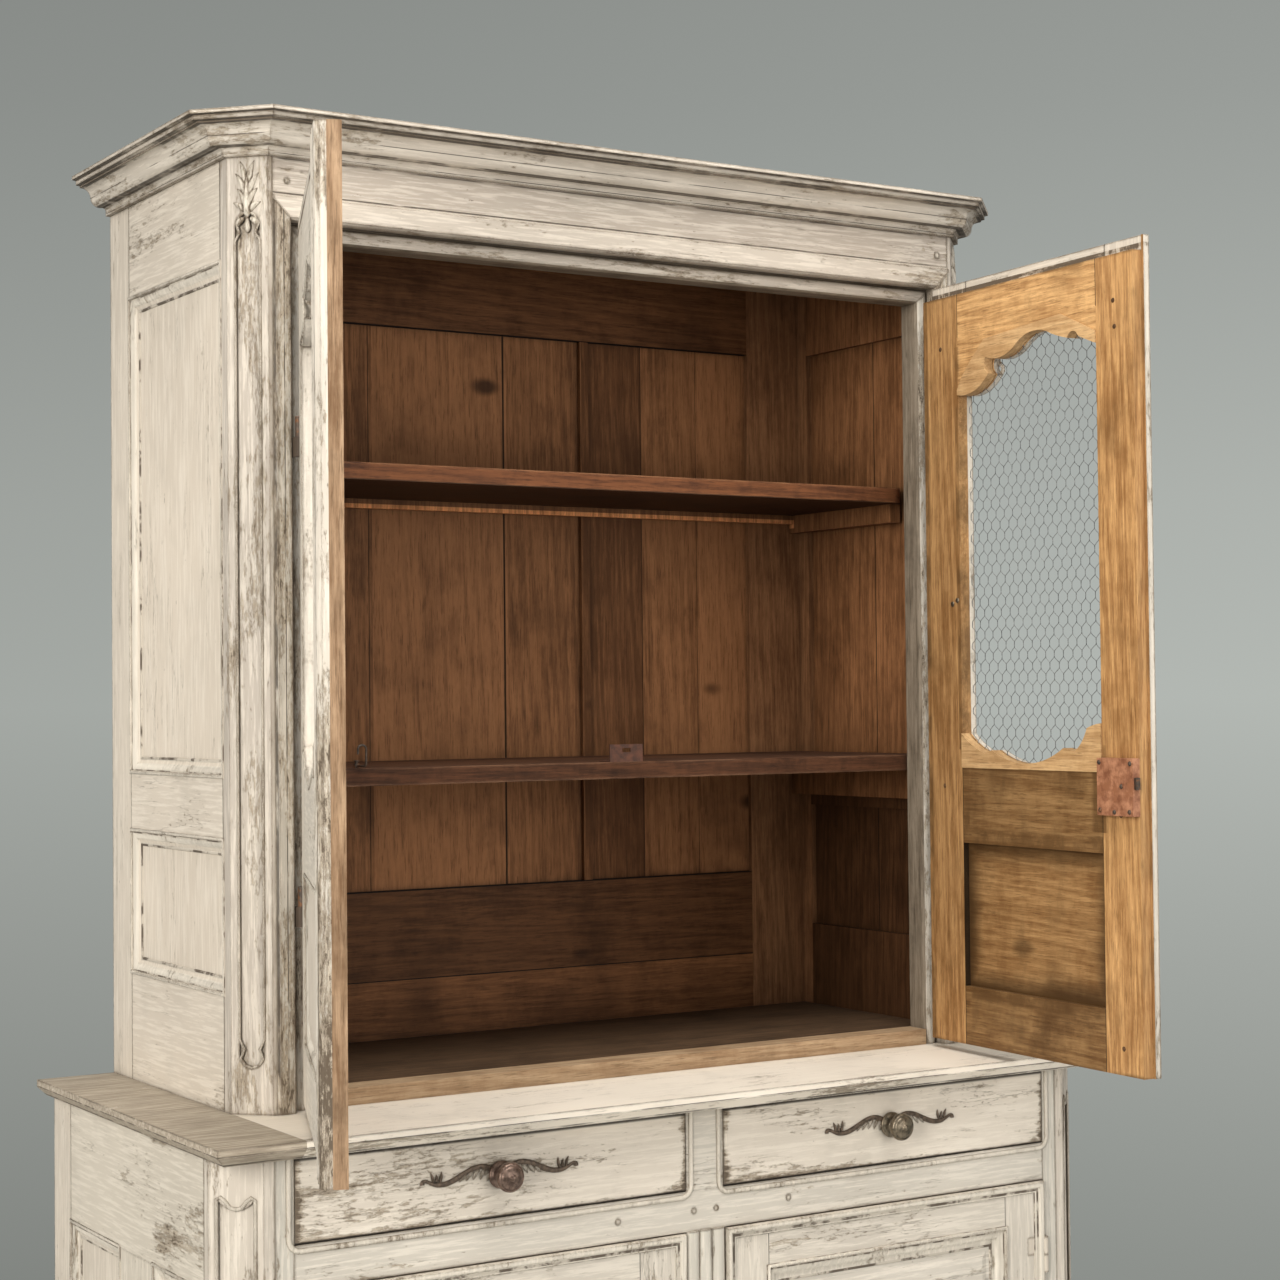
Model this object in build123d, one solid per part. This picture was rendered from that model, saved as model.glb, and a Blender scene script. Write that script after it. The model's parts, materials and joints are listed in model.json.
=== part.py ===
from build123d import *
import os
from math import cos, hypot, radians, sin, sqrt

# A two-stage painted cupboard: a lower case with two drawers over two doors,
# and a narrower upper case with two wire-mesh doors, shown standing open.
# Lengths are in millimetres.  X runs to the right along the front, Y to the
# back and Z up.  The origin is on the floor at the centre of the lower case.

# Driving sizes of the lower case
lower_width = 1390.0
lower_depth = 620.0
lower_height = 980.0
top_board_thickness = 23.0
top_edge_height = 10.0
top_edge_cove = 14.0
top_side_overhang = 25.0
top_front_overhang = 46.0
lower_cant_x = 53.0
lower_cant_y = 46.0
lower_post_strip = 15.0
lower_post_side_face = 14.0
side_wood = 25.0
front_wood = 40.0
rear_post_width = 70.0
rear_post_depth = 50.0
lower_top_rail = 167.0
lower_bottom_rail = 80.0
foot_height = 100.0
lower_muntin_width = 122.0
lower_muntin_start = 264.0
lower_stile_width = 25.0
drawer_height = 112.0
drawer_rail_height = 54.0
drawer_divider_width = 60.0
centre_stile_width = 62.0
back_board_thickness = 15.0
back_board_inset = 7.0
inner_board = 20.0
lower_shelf_share = 0.48

# Driving sizes of the upper case
upper_width = 1214.0
upper_depth = 477.0
upper_case_height = 1262.0
upper_cant = 40.4
upper_post_strip = 6.6
upper_post_side_face = 23.0
upper_side_stile = 76.0
upper_frame_width = 49.0
frieze_height = 73.0
upper_head_height = 56.0
jamb_depth = 52.0
bead_recess = 14.0
bead_width = 22.0
bead_quirk = 7.0
bolection_proud = 4.0
bolection_bevel = 3.0
quirk_width = 1.5
upper_side_bottom_rail = 152.0
upper_side_middle_rail = 83.0
upper_side_middle_start = 351.0
upper_side_top_rail = 157.0
upper_back_plane = 50.0
upper_back_recess = 8.0
upper_back_stile = 104.0
upper_back_top_rail = 159.0
upper_back_low_board = 107.0
upper_back_low_top = 242.0
back_joint_gap = 0.4
lower_back_board_count = 5
floor_thickness = 19.0
sill_height = 23.0
sill_depth = 40.0
roof_thickness = 14.0

# Cornice
cornice_drop = 25.0
cornice_height = 53.0
cornice_projection = 57.0
cornice_mitre_shift = 16.4

# Shelves
shelf_thickness = 24.0
upper_shelf_bottom = 836.0
upper_shelf_depth = 295.0
upper_shelf_corner = 30.0
middle_shelf_bottom = 416.0
middle_shelf_clearance = 7.0
middle_shelf_side_gap = 8.0
cleat_width = 20.0
upper_cleat_height = 29.0
middle_cleat_height = 47.0
batten_height = 14.0
batten_depth = 12.0

# Upper doors
door_wood = 26.0
door_proud = 12.0
door_overlap = 19.0
meeting_line = 40.0
door_bottom = 14.0
door_top_gap = 4.0
door_lip_height = 21.0
door_lip_depth = 9.0
hinge_stile = 86.0
lock_stile = 78.0
right_edge_lip = 4.0
right_edge_lip_depth = 10.0
meeting_strip_width = 78.5
meeting_strip_wood = 24.0
top_rail_drop = 151.0
insert_height = 88.0
mid_rail_bottom = 312.0
mid_rail_ledge = 423.0
low_insert_height = 67.0
bottom_rail_top = 100.0
rail_outer_layer = 12.0
mesh_thickness = 1.0
insert_proud = 2.0
mesh_pitch = 28.5
mesh_wire = 1.6
mesh_border = 4.0
door_panel_wood = 12.0
door_panel_inset = 5.0
door_panel_bevel = 34.0
door_panel_raise = 3.0
right_open_angle = 86.3
left_open_angle = 111.8

# Lower doors and drawers
lower_door_wood = 24.0
lower_door_stile = 72.0
lower_door_top_rail = 63.0
lower_door_bottom_rail = 80.0
door_gap = 1.5
lower_panel_moulding = 18.0
lower_panel_depth = 7.0
lower_panel_wood = 14.0
drawer_front_wood = 22.0
drawer_proud = 2.0
drawer_bevel = 5.0
drawer_gap = 1.0
drawer_side_wood = 12.0
drawer_back_room = 78.0
drawer_box_height = 92.0
drawer_bottom_wood = 8.0
runner_width = 55.0
runner_height = 24.0
guide_height = 34.0
running_gap = 0.3

# Fittings
hinge_radius = 5.5
hinge_pin_radius = 2.6
hinge_running_gap = 0.05
hinge_knuckle = 26.0
hinge_notch_gap = 0.5
hinge_leaf = 2.0
hinge_leaf_depth = 30.0
hinge_leaf_setback = 3.0
hinge_axis_proud = 3.0
upper_hinge_low_share = 0.226
upper_hinge_high_share = 0.77
lower_hinge_low_share = 0.18
lower_hinge_high_share = 0.82
knob_radius = 17.0
knob_reach = 36.0
knob_neck_radius = 6.0
knob_rose_radius = 15.0
knob_rose_height = 4.0
backplate_half_length = 117.0
backplate_half_height = 15.0
backplate_thickness = 2.0
lock_width = 75.0
lock_height = 78.0
lock_depth = 12.0
lock_wall = 2.0
lock_start = 411.0
lock_bottom = 365.0
bolt_height = 16.0
bolt_depth = 7.0
bolt_length = 34.0
bolt_start = 456.0
bolt_rise = 36.0
key_radius = 3.0
key_hole_gap = 0.4
key_from_edge = 60.0
key_rise = 20.0
key_bow_radius = 10.0
key_bow_wire = 2.0
key_reach = 22.0
key_bit_length = 5.0
key_bit_width = 8.0
key_bit_thickness = 3.0
catch_width = 55.0
catch_offset = 7.0
catch_height = 25.0
catch_base = 30.0
catch_plate_thickness = 2.0
catch_slot_width = 14.0
catch_slot_height = 6.0
hook_x = -412.0
hook_from_front = 13.0
hook_pin_radius = 2.0
hook_pin_rise = 9.0
hook_pin_seat = 12.0
hook_head_radius = 4.0
hook_head_height = 1.5
hook_wire = 1.5
hook_sleeve_radius = 4.2
hook_sleeve_height = 6.0
hook_arm = 30.0
hook_rise = 28.0
hook_curl = 12.0
hook_bend_radius = 5.4
peg_radius = 4.0
peg_proud = 1.0
peg_length = 18.0
rail_peg_shares = (-0.23, -0.03, 0.03, 0.23)

# Trim
sunk_depth = 3.0
lower_sunk_width_share = 0.7
lower_sunk_top_drop = 74.0
lower_sunk_scallop = 13.0
lower_sunk_end_margin = 150.0
upper_sunk_width_share = 0.6
upper_sunk_margin_top = 72.0
upper_sunk_margin_bottom = 60.0
panel_rim = 2.0
panel_slope = 18.0
panel_sink = 7.0
panel_inset = 2.0
panel_wood = 14.0
muntin_width = 15.0
muntin_offset = 161.5
reed_count = 3
bracket_length = 72.0
bracket_drop = 70.0
apron_rise = 26.0
apron_wood = 25.0
overrun = 5.0

# Planes and edges that follow from the driving sizes
half = lower_width / 2
front = -lower_depth / 2
back = lower_depth / 2
case_top = lower_height - top_board_thickness
base = lower_height
u_half = upper_width / 2
u_front = back - upper_depth
u_top = base + upper_case_height
inner_half = u_half - side_wood
post_edge = half - lower_cant_x - lower_post_strip
stile_edge = post_edge - lower_stile_width
drawer_bottom_z = case_top - drawer_height
door_opening_top = drawer_bottom_z - drawer_rail_height
door_opening_bottom = foot_height + lower_bottom_rail
u_back_face = back - upper_back_plane
bead_plane = u_front + bead_recess
jamb_back = u_front + jamb_depth
middle_shelf_depth = u_back_face - jamb_back - middle_shelf_clearance
door_axis_y = u_front - door_proud
upper_opening_half = u_half - upper_cant - upper_post_strip - upper_frame_width
upper_opening_height = upper_case_height - frieze_height - upper_head_height
upper_side_panel_top = upper_case_height - upper_side_top_rail
upper_back_panel_top = upper_case_height - upper_back_top_rail
cornice_start = upper_case_height - cornice_drop
door_axis_x = upper_opening_half + door_overlap
door_top = upper_opening_height - door_top_gap
left_frame_width = door_axis_x - meeting_line
right_body_width = left_frame_width - right_edge_lip
drawer_box_depth = lower_depth - back_board_inset - back_board_thickness - drawer_back_room
drawer_box_depth += drawer_proud - drawer_front_wood
lower_axis_x = stile_edge - door_gap / 2
lower_axis_y = front - hinge_axis_proud


def block(x0, x1, y0, y1, z0, z1):
    """A board between six planes."""
    corner = (min(x0, x1), min(y0, y1), min(z0, z1))
    size = (abs(x1 - x0), abs(y1 - y0), abs(z1 - z0))
    return Pos(*corner) * Box(*size, align=(Align.MIN, Align.MIN, Align.MIN))


def face_of(*lines):
    """A flat face inside lines and arcs that meet end to end."""
    edge = lines[0]
    for line in lines[1:]:
        edge += line
    return make_face(edge)


def polygon(points):
    return make_face(Polyline(*points, close=True))


def prism(points, z0, z1):
    """A plan outline raised from z0 to z1."""
    return Pos(0, 0, z0) * extrude(polygon(points), amount=z1 - z0)


def both(shape):
    """A piece and its mirror image on the other side of the cupboard."""
    return [shape, mirror(shape, about=Plane.YZ)]


def along(table, width, height):
    """Points from a table of shares of a width and a height."""
    return [(share_x * width, share_z * height) for share_x, share_z in table]


# Planes for outlines: the cupboard's front, its left side and the canted corners
def front_plane(x, y, z):
    return Plane(origin=(x, y, z), x_dir=(1, 0, 0), z_dir=(0, -1, 0))


def left_plane(x, y, z):
    return Plane(origin=(x, y, z), x_dir=(0, -1, 0), z_dir=(-1, 0, 0))


def cant_plane(edge, face, cant_x, cant_y, z):
    origin = (-(edge - cant_x / 2), face + cant_y / 2, z)
    return Plane(origin=origin, x_dir=(cant_x, -cant_y, 0), z_dir=(-cant_y, -cant_x, 0))


# Corner posts with a canted face and a sunk panel in it
def canted_post(edge, face, cant_x, cant_y, strip, side_face, depth, z0, z1):
    outline = [
        (-edge, face + cant_y + side_face),
        (-edge, face + cant_y),
        (-(edge - cant_x), face),
        (-(edge - cant_x - strip), face),
        (-(edge - cant_x - strip), face + depth),
        (-(edge - side_wood), face + cant_y + side_face),
    ]
    return prism(outline, z0, z1)


def lower_post():
    post = canted_post(
        half, front, lower_cant_x, lower_cant_y, lower_post_strip,
        lower_post_side_face, front_wood, 0, case_top,
    )
    width = hypot(lower_cant_x, lower_cant_y) * lower_sunk_width_share
    top = lower_height - lower_sunk_top_drop
    bottom = lower_sunk_end_margin
    plane = cant_plane(half, front, lower_cant_x, lower_cant_y, 0).offset(overrun)
    sketch = face_of(
        Polyline((-width / 2, top), (-width / 2, bottom), (width / 2, bottom), (width / 2, top)),
        ThreePointArc((width / 2, top), (0, top - lower_sunk_scallop), (-width / 2, top)),
    )
    return post - extrude(plane * sketch, amount=-(overrun + sunk_depth))


def upper_post():
    post = canted_post(
        u_half, u_front, upper_cant, upper_cant, upper_post_strip,
        upper_post_side_face, front_wood, base, u_top,
    )
    width = hypot(upper_cant, upper_cant) * upper_sunk_width_share
    top = base + cornice_start - upper_sunk_margin_top
    bottom = base + upper_sunk_margin_bottom
    plane = cant_plane(u_half, u_front, upper_cant, upper_cant, (top + bottom) / 2)
    sketch = SlotOverall(top - bottom, width, rotation=90)
    return post - extrude(plane.offset(overrun) * sketch, amount=-(overrun + sunk_depth))


def sunk_panel(plane, width, height, wood, rim, slope, sink):
    """A panel whose field lies below a sloping moulding."""
    plate = extrude(plane * Rectangle(width, height), amount=-wood)
    mouth = plane * Rectangle(width - 2 * rim, height - 2 * rim)
    inner = 2 * (rim + slope)
    bed = plane.offset(-sink) * Rectangle(width - inner, height - inner)
    return plate - loft([mouth, bed], ruled=True)


# Lower case
def lower_top():
    edge = half + top_side_overhang
    lip = top_board_thickness - top_edge_height
    upper = block(-edge, edge, front - top_front_overhang, back, base - top_edge_height, base)
    low = Plane.XZ * polygon([
        (-edge, 0), (edge, 0), (edge - top_edge_cove, -lip), (top_edge_cove - edge, -lip),
    ])
    low = Pos(0, 0, base - top_edge_height) * extrude(low, amount=half, both=True)
    side = polygon([
        (front - top_front_overhang, 0),
        (back, 0),
        (back, -lip),
        (front - top_front_overhang + top_edge_cove, -lip),
    ])
    side = Pos(0, 0, base - top_edge_height) * extrude(Plane.YZ * side, amount=edge, both=True)
    return upper + (low & side)


def lower_side_parts():
    top = case_top - lower_top_rail
    bottom = door_opening_bottom
    y_post = front + lower_cant_y + lower_post_side_face
    y_rear = back - rear_post_width
    muntin_front = back - lower_muntin_start - lower_muntin_width
    muntin_back = back - lower_muntin_start
    inner = side_wood - half
    rails = [
        block(-half, inner, y_post, y_rear, top, case_top),
        block(-half, inner, y_post, y_rear, foot_height, bottom),
        block(-half, inner, muntin_front, muntin_back, bottom, top),
    ]
    panels = []
    for y0, y1 in ((y_post, muntin_front), (muntin_back, y_rear)):
        plane = left_plane(panel_inset - half, (y0 + y1) / 2, (bottom + top) / 2)
        panels.append(sunk_panel(plane, y1 - y0, top - bottom, panel_wood, panel_rim, panel_slope, panel_sink))
    return rails, panels


def reeded(width, wood, z0, z1, x, y_face):
    """A stile whose face carries upright reeds."""
    reed = width / (2 * reed_count)
    lines = [Polyline((width / 2, 0), (width / 2, wood), (-width / 2, wood), (-width / 2, 0))]
    for i in range(reed_count):
        start = -width / 2 + 2 * i * reed
        lines.append(ThreePointArc((start, 0), (start + reed, -reed / 2), (start + 2 * reed, 0)))
    return Pos(x, y_face, z0) * extrude(face_of(*lines), amount=z1 - z0)


def lower_front_parts():
    stile = block(-post_edge, -stile_edge, front, front + front_wood, foot_height, case_top)
    rail = block(
        -stile_edge, stile_edge, front, front + front_wood, door_opening_top, drawer_bottom_z
    )
    half_divider = drawer_divider_width / 2
    divider = block(
        -half_divider, half_divider, front, front + front_wood, drawer_bottom_z, case_top
    )
    centre = reeded(
        centre_stile_width, front_wood, door_opening_bottom, door_opening_top, 0, front
    )
    return both(stile) + [centre], rail, divider


def apron():
    top = door_opening_bottom
    edge = stile_edge
    quarter = edge / 2
    low = foot_height
    crest = foot_height + apron_rise
    outline = face_of(
        Polyline((edge, low), (edge, top), (-edge, top), (-edge, low)),
        ThreePointArc((-edge, low), (-quarter * 3 / 2, crest), (-quarter, crest)),
        ThreePointArc((-quarter, crest), (0, low), (quarter, crest)),
        ThreePointArc((quarter, crest), (quarter * 3 / 2, crest), (edge, low)),
    )
    return extrude(front_plane(0, front, 0) * outline, amount=-apron_wood)


def bracket(plane, wood):
    """A curved ear that eases the corner between a foot and a rail."""
    outline = face_of(
        Polyline((bracket_length, 0), (0, 0), (0, -bracket_drop)),
        ThreePointArc(
            (0, -bracket_drop),
            (bracket_length * (1 - sqrt(1 / 2)), -bracket_drop * (1 - sqrt(1 / 2))),
            (bracket_length, 0),
        ),
    )
    return extrude(plane * outline, amount=-wood)


def foot_brackets():
    y_post = front + lower_cant_y + lower_post_side_face
    at_front = bracket(front_plane(-post_edge, front, foot_height), apron_wood)
    at_side = bracket(
        Plane(origin=(side_wood - half, y_post, foot_height), x_dir=(0, 1, 0), z_dir=(1, 0, 0)), side_wood
    )
    return both(at_front) + both(at_side)


def lower_inside():
    inner = half - side_wood
    y0 = front + front_wood
    y1 = back - back_board_inset - back_board_thickness
    floor = block(-inner, inner, y0, y1, door_opening_bottom - inner_board, door_opening_bottom)
    level = door_opening_bottom + (door_opening_top - door_opening_bottom) * lower_shelf_share
    margin = rear_post_width
    shelf = block(-inner, inner, y0 + margin, y1, level, level + inner_board)
    runners = []
    y_end = y1
    z_run = drawer_bottom_z + running_gap
    for side in (-1, 1):
        outer = side * (stile_edge + lower_stile_width)
        runners.append(block(outer, outer - side * runner_width, y0, y_end, z_run - runner_height, z_run))
        runners.append(block(outer, side * stile_edge, y0, y_end, z_run, z_run + guide_height))
    half_divider = drawer_divider_width / 2
    middle = half_divider + runner_width / 2
    runners.append(block(-middle, middle, y0, y_end, z_run - runner_height, z_run))
    runners.append(block(-half_divider, half_divider, y0, y_end, z_run, z_run + guide_height))
    return floor, shelf, runners


def lower_back():
    inner = half - rear_post_depth
    y0 = back - back_board_inset - back_board_thickness
    y1 = back - back_board_inset
    step = 2 * inner / lower_back_board_count
    boards = []
    for i in range(lower_back_board_count):
        start = -inner + i * step
        gap = back_joint_gap if i else 0
        boards.append(block(start + gap, start + step, y0, y1, foot_height, case_top))
    return boards


# Upper case
def upper_side_parts():
    y_post = u_front + upper_cant + upper_post_side_face
    y_rear = back - upper_side_stile
    inner = side_wood - u_half
    mid0 = base + upper_side_middle_start
    mid1 = mid0 + upper_side_middle_rail
    low = base + upper_side_bottom_rail
    top = base + upper_side_panel_top
    rails = [
        block(-u_half, inner, y_post, y_rear, base, low),
        block(-u_half, inner, y_post, y_rear, mid0, mid1),
        block(-u_half, inner, y_post, y_rear, top, u_top),
    ]
    panels = []
    for z0, z1 in ((low, mid0), (mid1, top)):
        plane = left_plane(panel_inset - u_half, (y_post + y_rear) / 2, (z0 + z1) / 2)
        panels.append(sunk_panel(plane, y_rear - y_post, z1 - z0, panel_wood, panel_rim, panel_slope, panel_sink))
    return rails, panels


def frame_profile(outer):
    """Section of the opening's moulded frame: outward from the opening, and back."""
    edge = bead_width + quirk_width
    return face_of(
        Polyline((0, bead_recess + bead_quirk), (0, jamb_depth), (outer, jamb_depth), (outer, 0)),
        Polyline(
            (outer, 0), (outer - bolection_bevel, -bolection_proud),
            (edge + bolection_bevel, -bolection_proud), (edge, 0), (edge, bead_recess + bead_quirk),
            (bead_width, bead_recess + bead_quirk),
        ),
        ThreePointArc(
            (bead_width, bead_recess + bead_quirk),
            (bead_width / 2, bead_recess),
            (0, bead_recess + bead_quirk),
        ),
    )


def upper_frame():
    """The two moulded stiles and the moulded head, mitred at the corners."""
    outer = u_half - upper_cant - upper_post_strip - upper_opening_half
    top = base + upper_opening_height
    high = top + upper_head_height
    stile_plane = Plane(origin=(upper_opening_half, u_front, base), x_dir=(1, 0, 0), z_dir=(0, 0, 1))
    stile = extrude(stile_plane * frame_profile(outer), amount=high - base)
    corner = upper_opening_half + outer
    wide = corner + overrun
    reach = jamb_depth + bolection_proud + overrun
    cut = prism_y([
        (upper_opening_half - overrun, top - overrun),
        (upper_opening_half - overrun, high + overrun),
        (upper_opening_half + upper_head_height + overrun, high + overrun),
    ], u_front - bolection_proud - overrun, reach)
    stile -= cut
    head_plane = Plane(origin=(-wide, u_front, top), x_dir=(0, 0, 1), z_dir=(-1, 0, 0))
    head = extrude(head_plane * frame_profile(upper_head_height), amount=-2 * wide)
    keep = prism_y([
        (-upper_opening_half, top),
        (upper_opening_half, top),
        (upper_opening_half + outer, top + outer),
        (upper_opening_half + outer, high),
        (-upper_opening_half - outer, high),
        (-upper_opening_half - outer, top + outer),
    ], u_front - bolection_proud - overrun, reach)
    return both(stile), head & keep


def prism_y(points, y0, depth):
    """An outline in X and Z carried back from y0."""
    return extrude(front_plane(0, y0, 0) * polygon(points), amount=-depth)


def cornice_profile(share):
    table_shares = [(0.12, 0.0), (0.12, 0.1), (0.24, 0.22), (0.52, 0.45), (0.8, 0.7)]
    p = along(table_shares, cornice_projection * share, cornice_height)
    bulge_shares = [(0.15, 0.2), (0.43, 0.27), (0.6, 0.64)]
    via = along(bulge_shares, cornice_projection * share, cornice_height)
    end_shares = [(0.8, 0.75), (0.9, 0.77), (0.9, 0.88), (1.0, 0.9), (1.0, 1.0), (0.0, 1.0), (0.0, 0.0)]
    end = along(end_shares, cornice_projection * share, cornice_height)
    return face_of(
        Polyline((0, 0), p[0], p[1]),
        ThreePointArc(p[1], via[0], p[2]),
        ThreePointArc(p[2], via[1], p[3]),
        ThreePointArc(p[3], via[2], p[4]),
        Polyline(p[4], *end),
    )


def cornice_run(origin, outward, length, share, wedge):
    """One length of cornice: a long moulding cut to its mitres in plan."""
    a, b = outward
    plane = Plane(
        origin=(origin[0], origin[1], base + cornice_start), x_dir=(a, b, 0), z_dir=(b, -a, 0)
    )
    bar = extrude(plane * cornice_profile(share), amount=length, both=True)
    z0 = base + cornice_start - overrun
    return bar & prism(wedge, z0, z0 + cornice_height + 2 * overrun)


def cornice():
    edge = u_half - upper_cant
    reach = cornice_projection
    shift = cornice_mitre_shift
    inner_front = (-edge, u_front)
    outer_front = (-edge - shift, u_front - reach)
    inner_side = (-u_half, u_front + upper_cant)
    outer_side = (-u_half - reach, u_front + upper_cant - shift)
    mirrored = [(-x, y) for x, y in (outer_front, inner_front)]
    face = cornice_run(
        (0, u_front), (0, -1), u_half + reach, 1, [inner_front, outer_front] + mirrored
    )
    diagonal = sqrt(1 / 2)
    cant_share = (reach + shift) * diagonal / reach
    middle = (-(u_half - upper_cant / 2), u_front + upper_cant / 2)
    cant = cornice_run(
        middle, (-diagonal, -diagonal), upper_cant + reach, cant_share,
        [inner_side, outer_side, outer_front, inner_front],
    )
    side = cornice_run(
        (-u_half, 0), (-1, 0), upper_depth, 1,
        [(-u_half, back), (-u_half - reach, back), outer_side, inner_side],
    )
    return [face] + both(cant) + both(side)


def upper_back():
    """Rear posts, the plain head board, upright boards and two low boards."""
    y0 = u_back_face
    recess = y0 + upper_back_recess
    y1 = back - back_board_inset
    post = block(-inner_half, upper_back_stile - inner_half, y0, back, base, u_top)
    stile = block(-u_half, side_wood - u_half, back - upper_side_stile, back, base, u_top)
    edge = inner_half - upper_back_stile
    low = base + upper_back_low_top
    top = base + upper_back_panel_top
    boards = [
        block(-edge, edge, y0, y1, top, u_top),
        block(-edge, edge, y0, y1, base, base + upper_back_low_board - back_joint_gap),
        block(-edge, edge, y0, y1, base + upper_back_low_board, low),
    ]
    joint_shares = [-1.0, -0.454, 0.036, 0.338, 0.569, 0.793, 1.0]
    joints = [share * edge for share in joint_shares]
    for x0, x1 in zip(joints, joints[1:]):
        gap = back_joint_gap if x0 > -edge else 0
        boards.append(block(x0 + gap, x1, recess, y1, low, top))
    x = muntin_offset
    boards.append(block(x - muntin_width / 2, x + muntin_width / 2, y0, recess, low, top))
    return both(post) + both(stile), boards


def upper_inside():
    floor = block(
        -inner_half, inner_half, bead_plane + sill_depth, u_back_face, base, base + floor_thickness
    )
    for post in both(upper_post()):
        floor -= post
    sill = block(
        -upper_opening_half, upper_opening_half, bead_plane, bead_plane + sill_depth, base, base + sill_height
    )
    roof = block(-u_half, u_half, u_front, back, u_top, u_top + roof_thickness)
    edge = u_half - upper_cant
    roof = roof & prism([
        (-u_half, back), (-u_half, u_front + upper_cant), (-edge, u_front),
        (edge, u_front), (u_half, u_front + upper_cant), (u_half, back),
    ], u_top - overrun, u_top + roof_thickness + overrun)
    return floor, sill, roof


def frieze():
    edge = u_half - upper_cant - upper_post_strip
    z0 = base + upper_opening_height + upper_head_height
    return block(-edge, edge, u_front, u_front + front_wood, z0, u_top)


def shelves():
    z = base + upper_shelf_bottom
    front_y = u_back_face - upper_shelf_depth
    upper = block(-inner_half, inner_half, front_y, u_back_face, z, z + shelf_thickness)
    corner = upper.edges().filter_by(Axis.Z).group_by(Axis.Y)[0].sort_by(Axis.X)[-1]
    upper = fillet(corner, upper_shelf_corner)
    z = base + middle_shelf_bottom
    width = inner_half - middle_shelf_side_gap
    middle = block(
        -width, width, u_back_face - middle_shelf_depth, u_back_face, z, z + shelf_thickness
    )
    cleats = []
    for low, height, depth in (
        (upper_shelf_bottom, upper_cleat_height, upper_shelf_depth),
        (middle_shelf_bottom, middle_cleat_height, middle_shelf_depth),
    ):
        z = base + low
        length = depth - cleat_width
        cleats += both(block(
            -inner_half, cleat_width - inner_half, u_back_face - length, u_back_face, z - height, z
        ))
    z = base + upper_shelf_bottom
    batten_edge = inner_half - cleat_width
    cleats.append(block(
        -batten_edge, batten_edge, u_back_face - batten_depth, u_back_face, z - batten_height, z
    ))
    return upper, middle, cleats


# Hinges: lift-off hinges whose pin stands in the lower half on the case
def pin_half(x, y, z):
    """The lower half, with its pin, for a hinge whose joint is at height z."""
    knuckle = Pos(x, y, z - hinge_knuckle / 2) * Cylinder(hinge_radius, hinge_knuckle)
    rise = hinge_knuckle * 3 / 4
    pin = Pos(x, y, z + rise / 2) * Cylinder(hinge_pin_radius, rise)
    return knuckle + pin


def case_leaf(x, y, z, depth):
    """A plate from the lower knuckle back into the stile beside the door."""
    start = x + hinge_radius - hinge_leaf
    return block(start, start + hinge_leaf, y, y + depth, z - hinge_knuckle, z)


def socket_half(x, y, z):
    """The upper half on the door, bored for the pin."""
    z0 = z + running_gap
    knuckle = Pos(x, y, z0 + hinge_knuckle / 2) * Cylinder(hinge_radius, hinge_knuckle)
    bore = hinge_knuckle * 7 / 8
    hole = Pos(x, y, z0 + bore / 2 - overrun / 2) * Cylinder(
        hinge_pin_radius + hinge_running_gap, bore + overrun
    )
    leaf = block(
        x - hinge_leaf_depth, x, y + hinge_leaf_setback, y + hinge_leaf_setback + hinge_leaf,
        z0, z0 + hinge_knuckle,
    )
    return knuckle + leaf - hole


def hinge_notch(x, y, z):
    """The space that a door's corner leaves for both halves."""
    gap = hinge_notch_gap
    return Pos(x, y, z + running_gap / 2) * Cylinder(hinge_radius + gap, 2 * hinge_knuckle + 2 * gap)


def leaf_slot(x, y, z):
    z0 = z + running_gap
    return block(
        x - hinge_leaf_depth, x, y + hinge_leaf_setback, y + hinge_leaf_setback + hinge_leaf,
        z0, z0 + hinge_knuckle,
    )


def upper_hinge_heights():
    height = door_top - door_bottom
    low = base + door_bottom + height * upper_hinge_low_share
    return [low, base + door_bottom + height * upper_hinge_high_share]


def lower_hinge_heights():
    height = door_opening_top - door_opening_bottom
    low = door_opening_bottom + height * lower_hinge_low_share
    return [low, door_opening_bottom + height * lower_hinge_high_share]


def case_hinges():
    """Lower halves of all hinges, on the right and mirrored to the left."""
    upper_depth_in = bead_plane - door_axis_y + hinge_leaf_depth / 2
    lower_depth_in = hinge_axis_proud + hinge_leaf_depth
    halves = []
    for z in upper_hinge_heights():
        leaf = case_leaf(door_axis_x, door_axis_y, z, upper_depth_in)
        halves += both(pin_half(door_axis_x, door_axis_y, z) + leaf)
    for z in lower_hinge_heights():
        leaf = case_leaf(lower_axis_x, lower_axis_y, z, lower_depth_in)
        halves += both(pin_half(lower_axis_x, lower_axis_y, z) + leaf)
    return halves


# Upper doors are drawn as the right one, closed, with s measured from the hinge
def door_block(s0, s1, t0, t1, z0, z1):
    return block(
        door_axis_x - s1, door_axis_x - s0, door_axis_y + t0, door_axis_y + t1, base + z0, base + z1
    )


def door_outline(points, t0, t1):
    """An outline in s and z carried through the door from t0 to t1."""
    flat = [(door_axis_x - s, base + z) for s, z in points]
    return extrude(front_plane(0, door_axis_y + t0, 0) * polygon(flat), amount=-(t1 - t0))


def door_face(lines, t0, t1):
    flat = Plane(
        origin=(door_axis_x, door_axis_y + t0, base), x_dir=(-1, 0, 0), z_dir=(0, 1, 0)
    )
    return extrude(flat * face_of(*lines), amount=t1 - t0)


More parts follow.
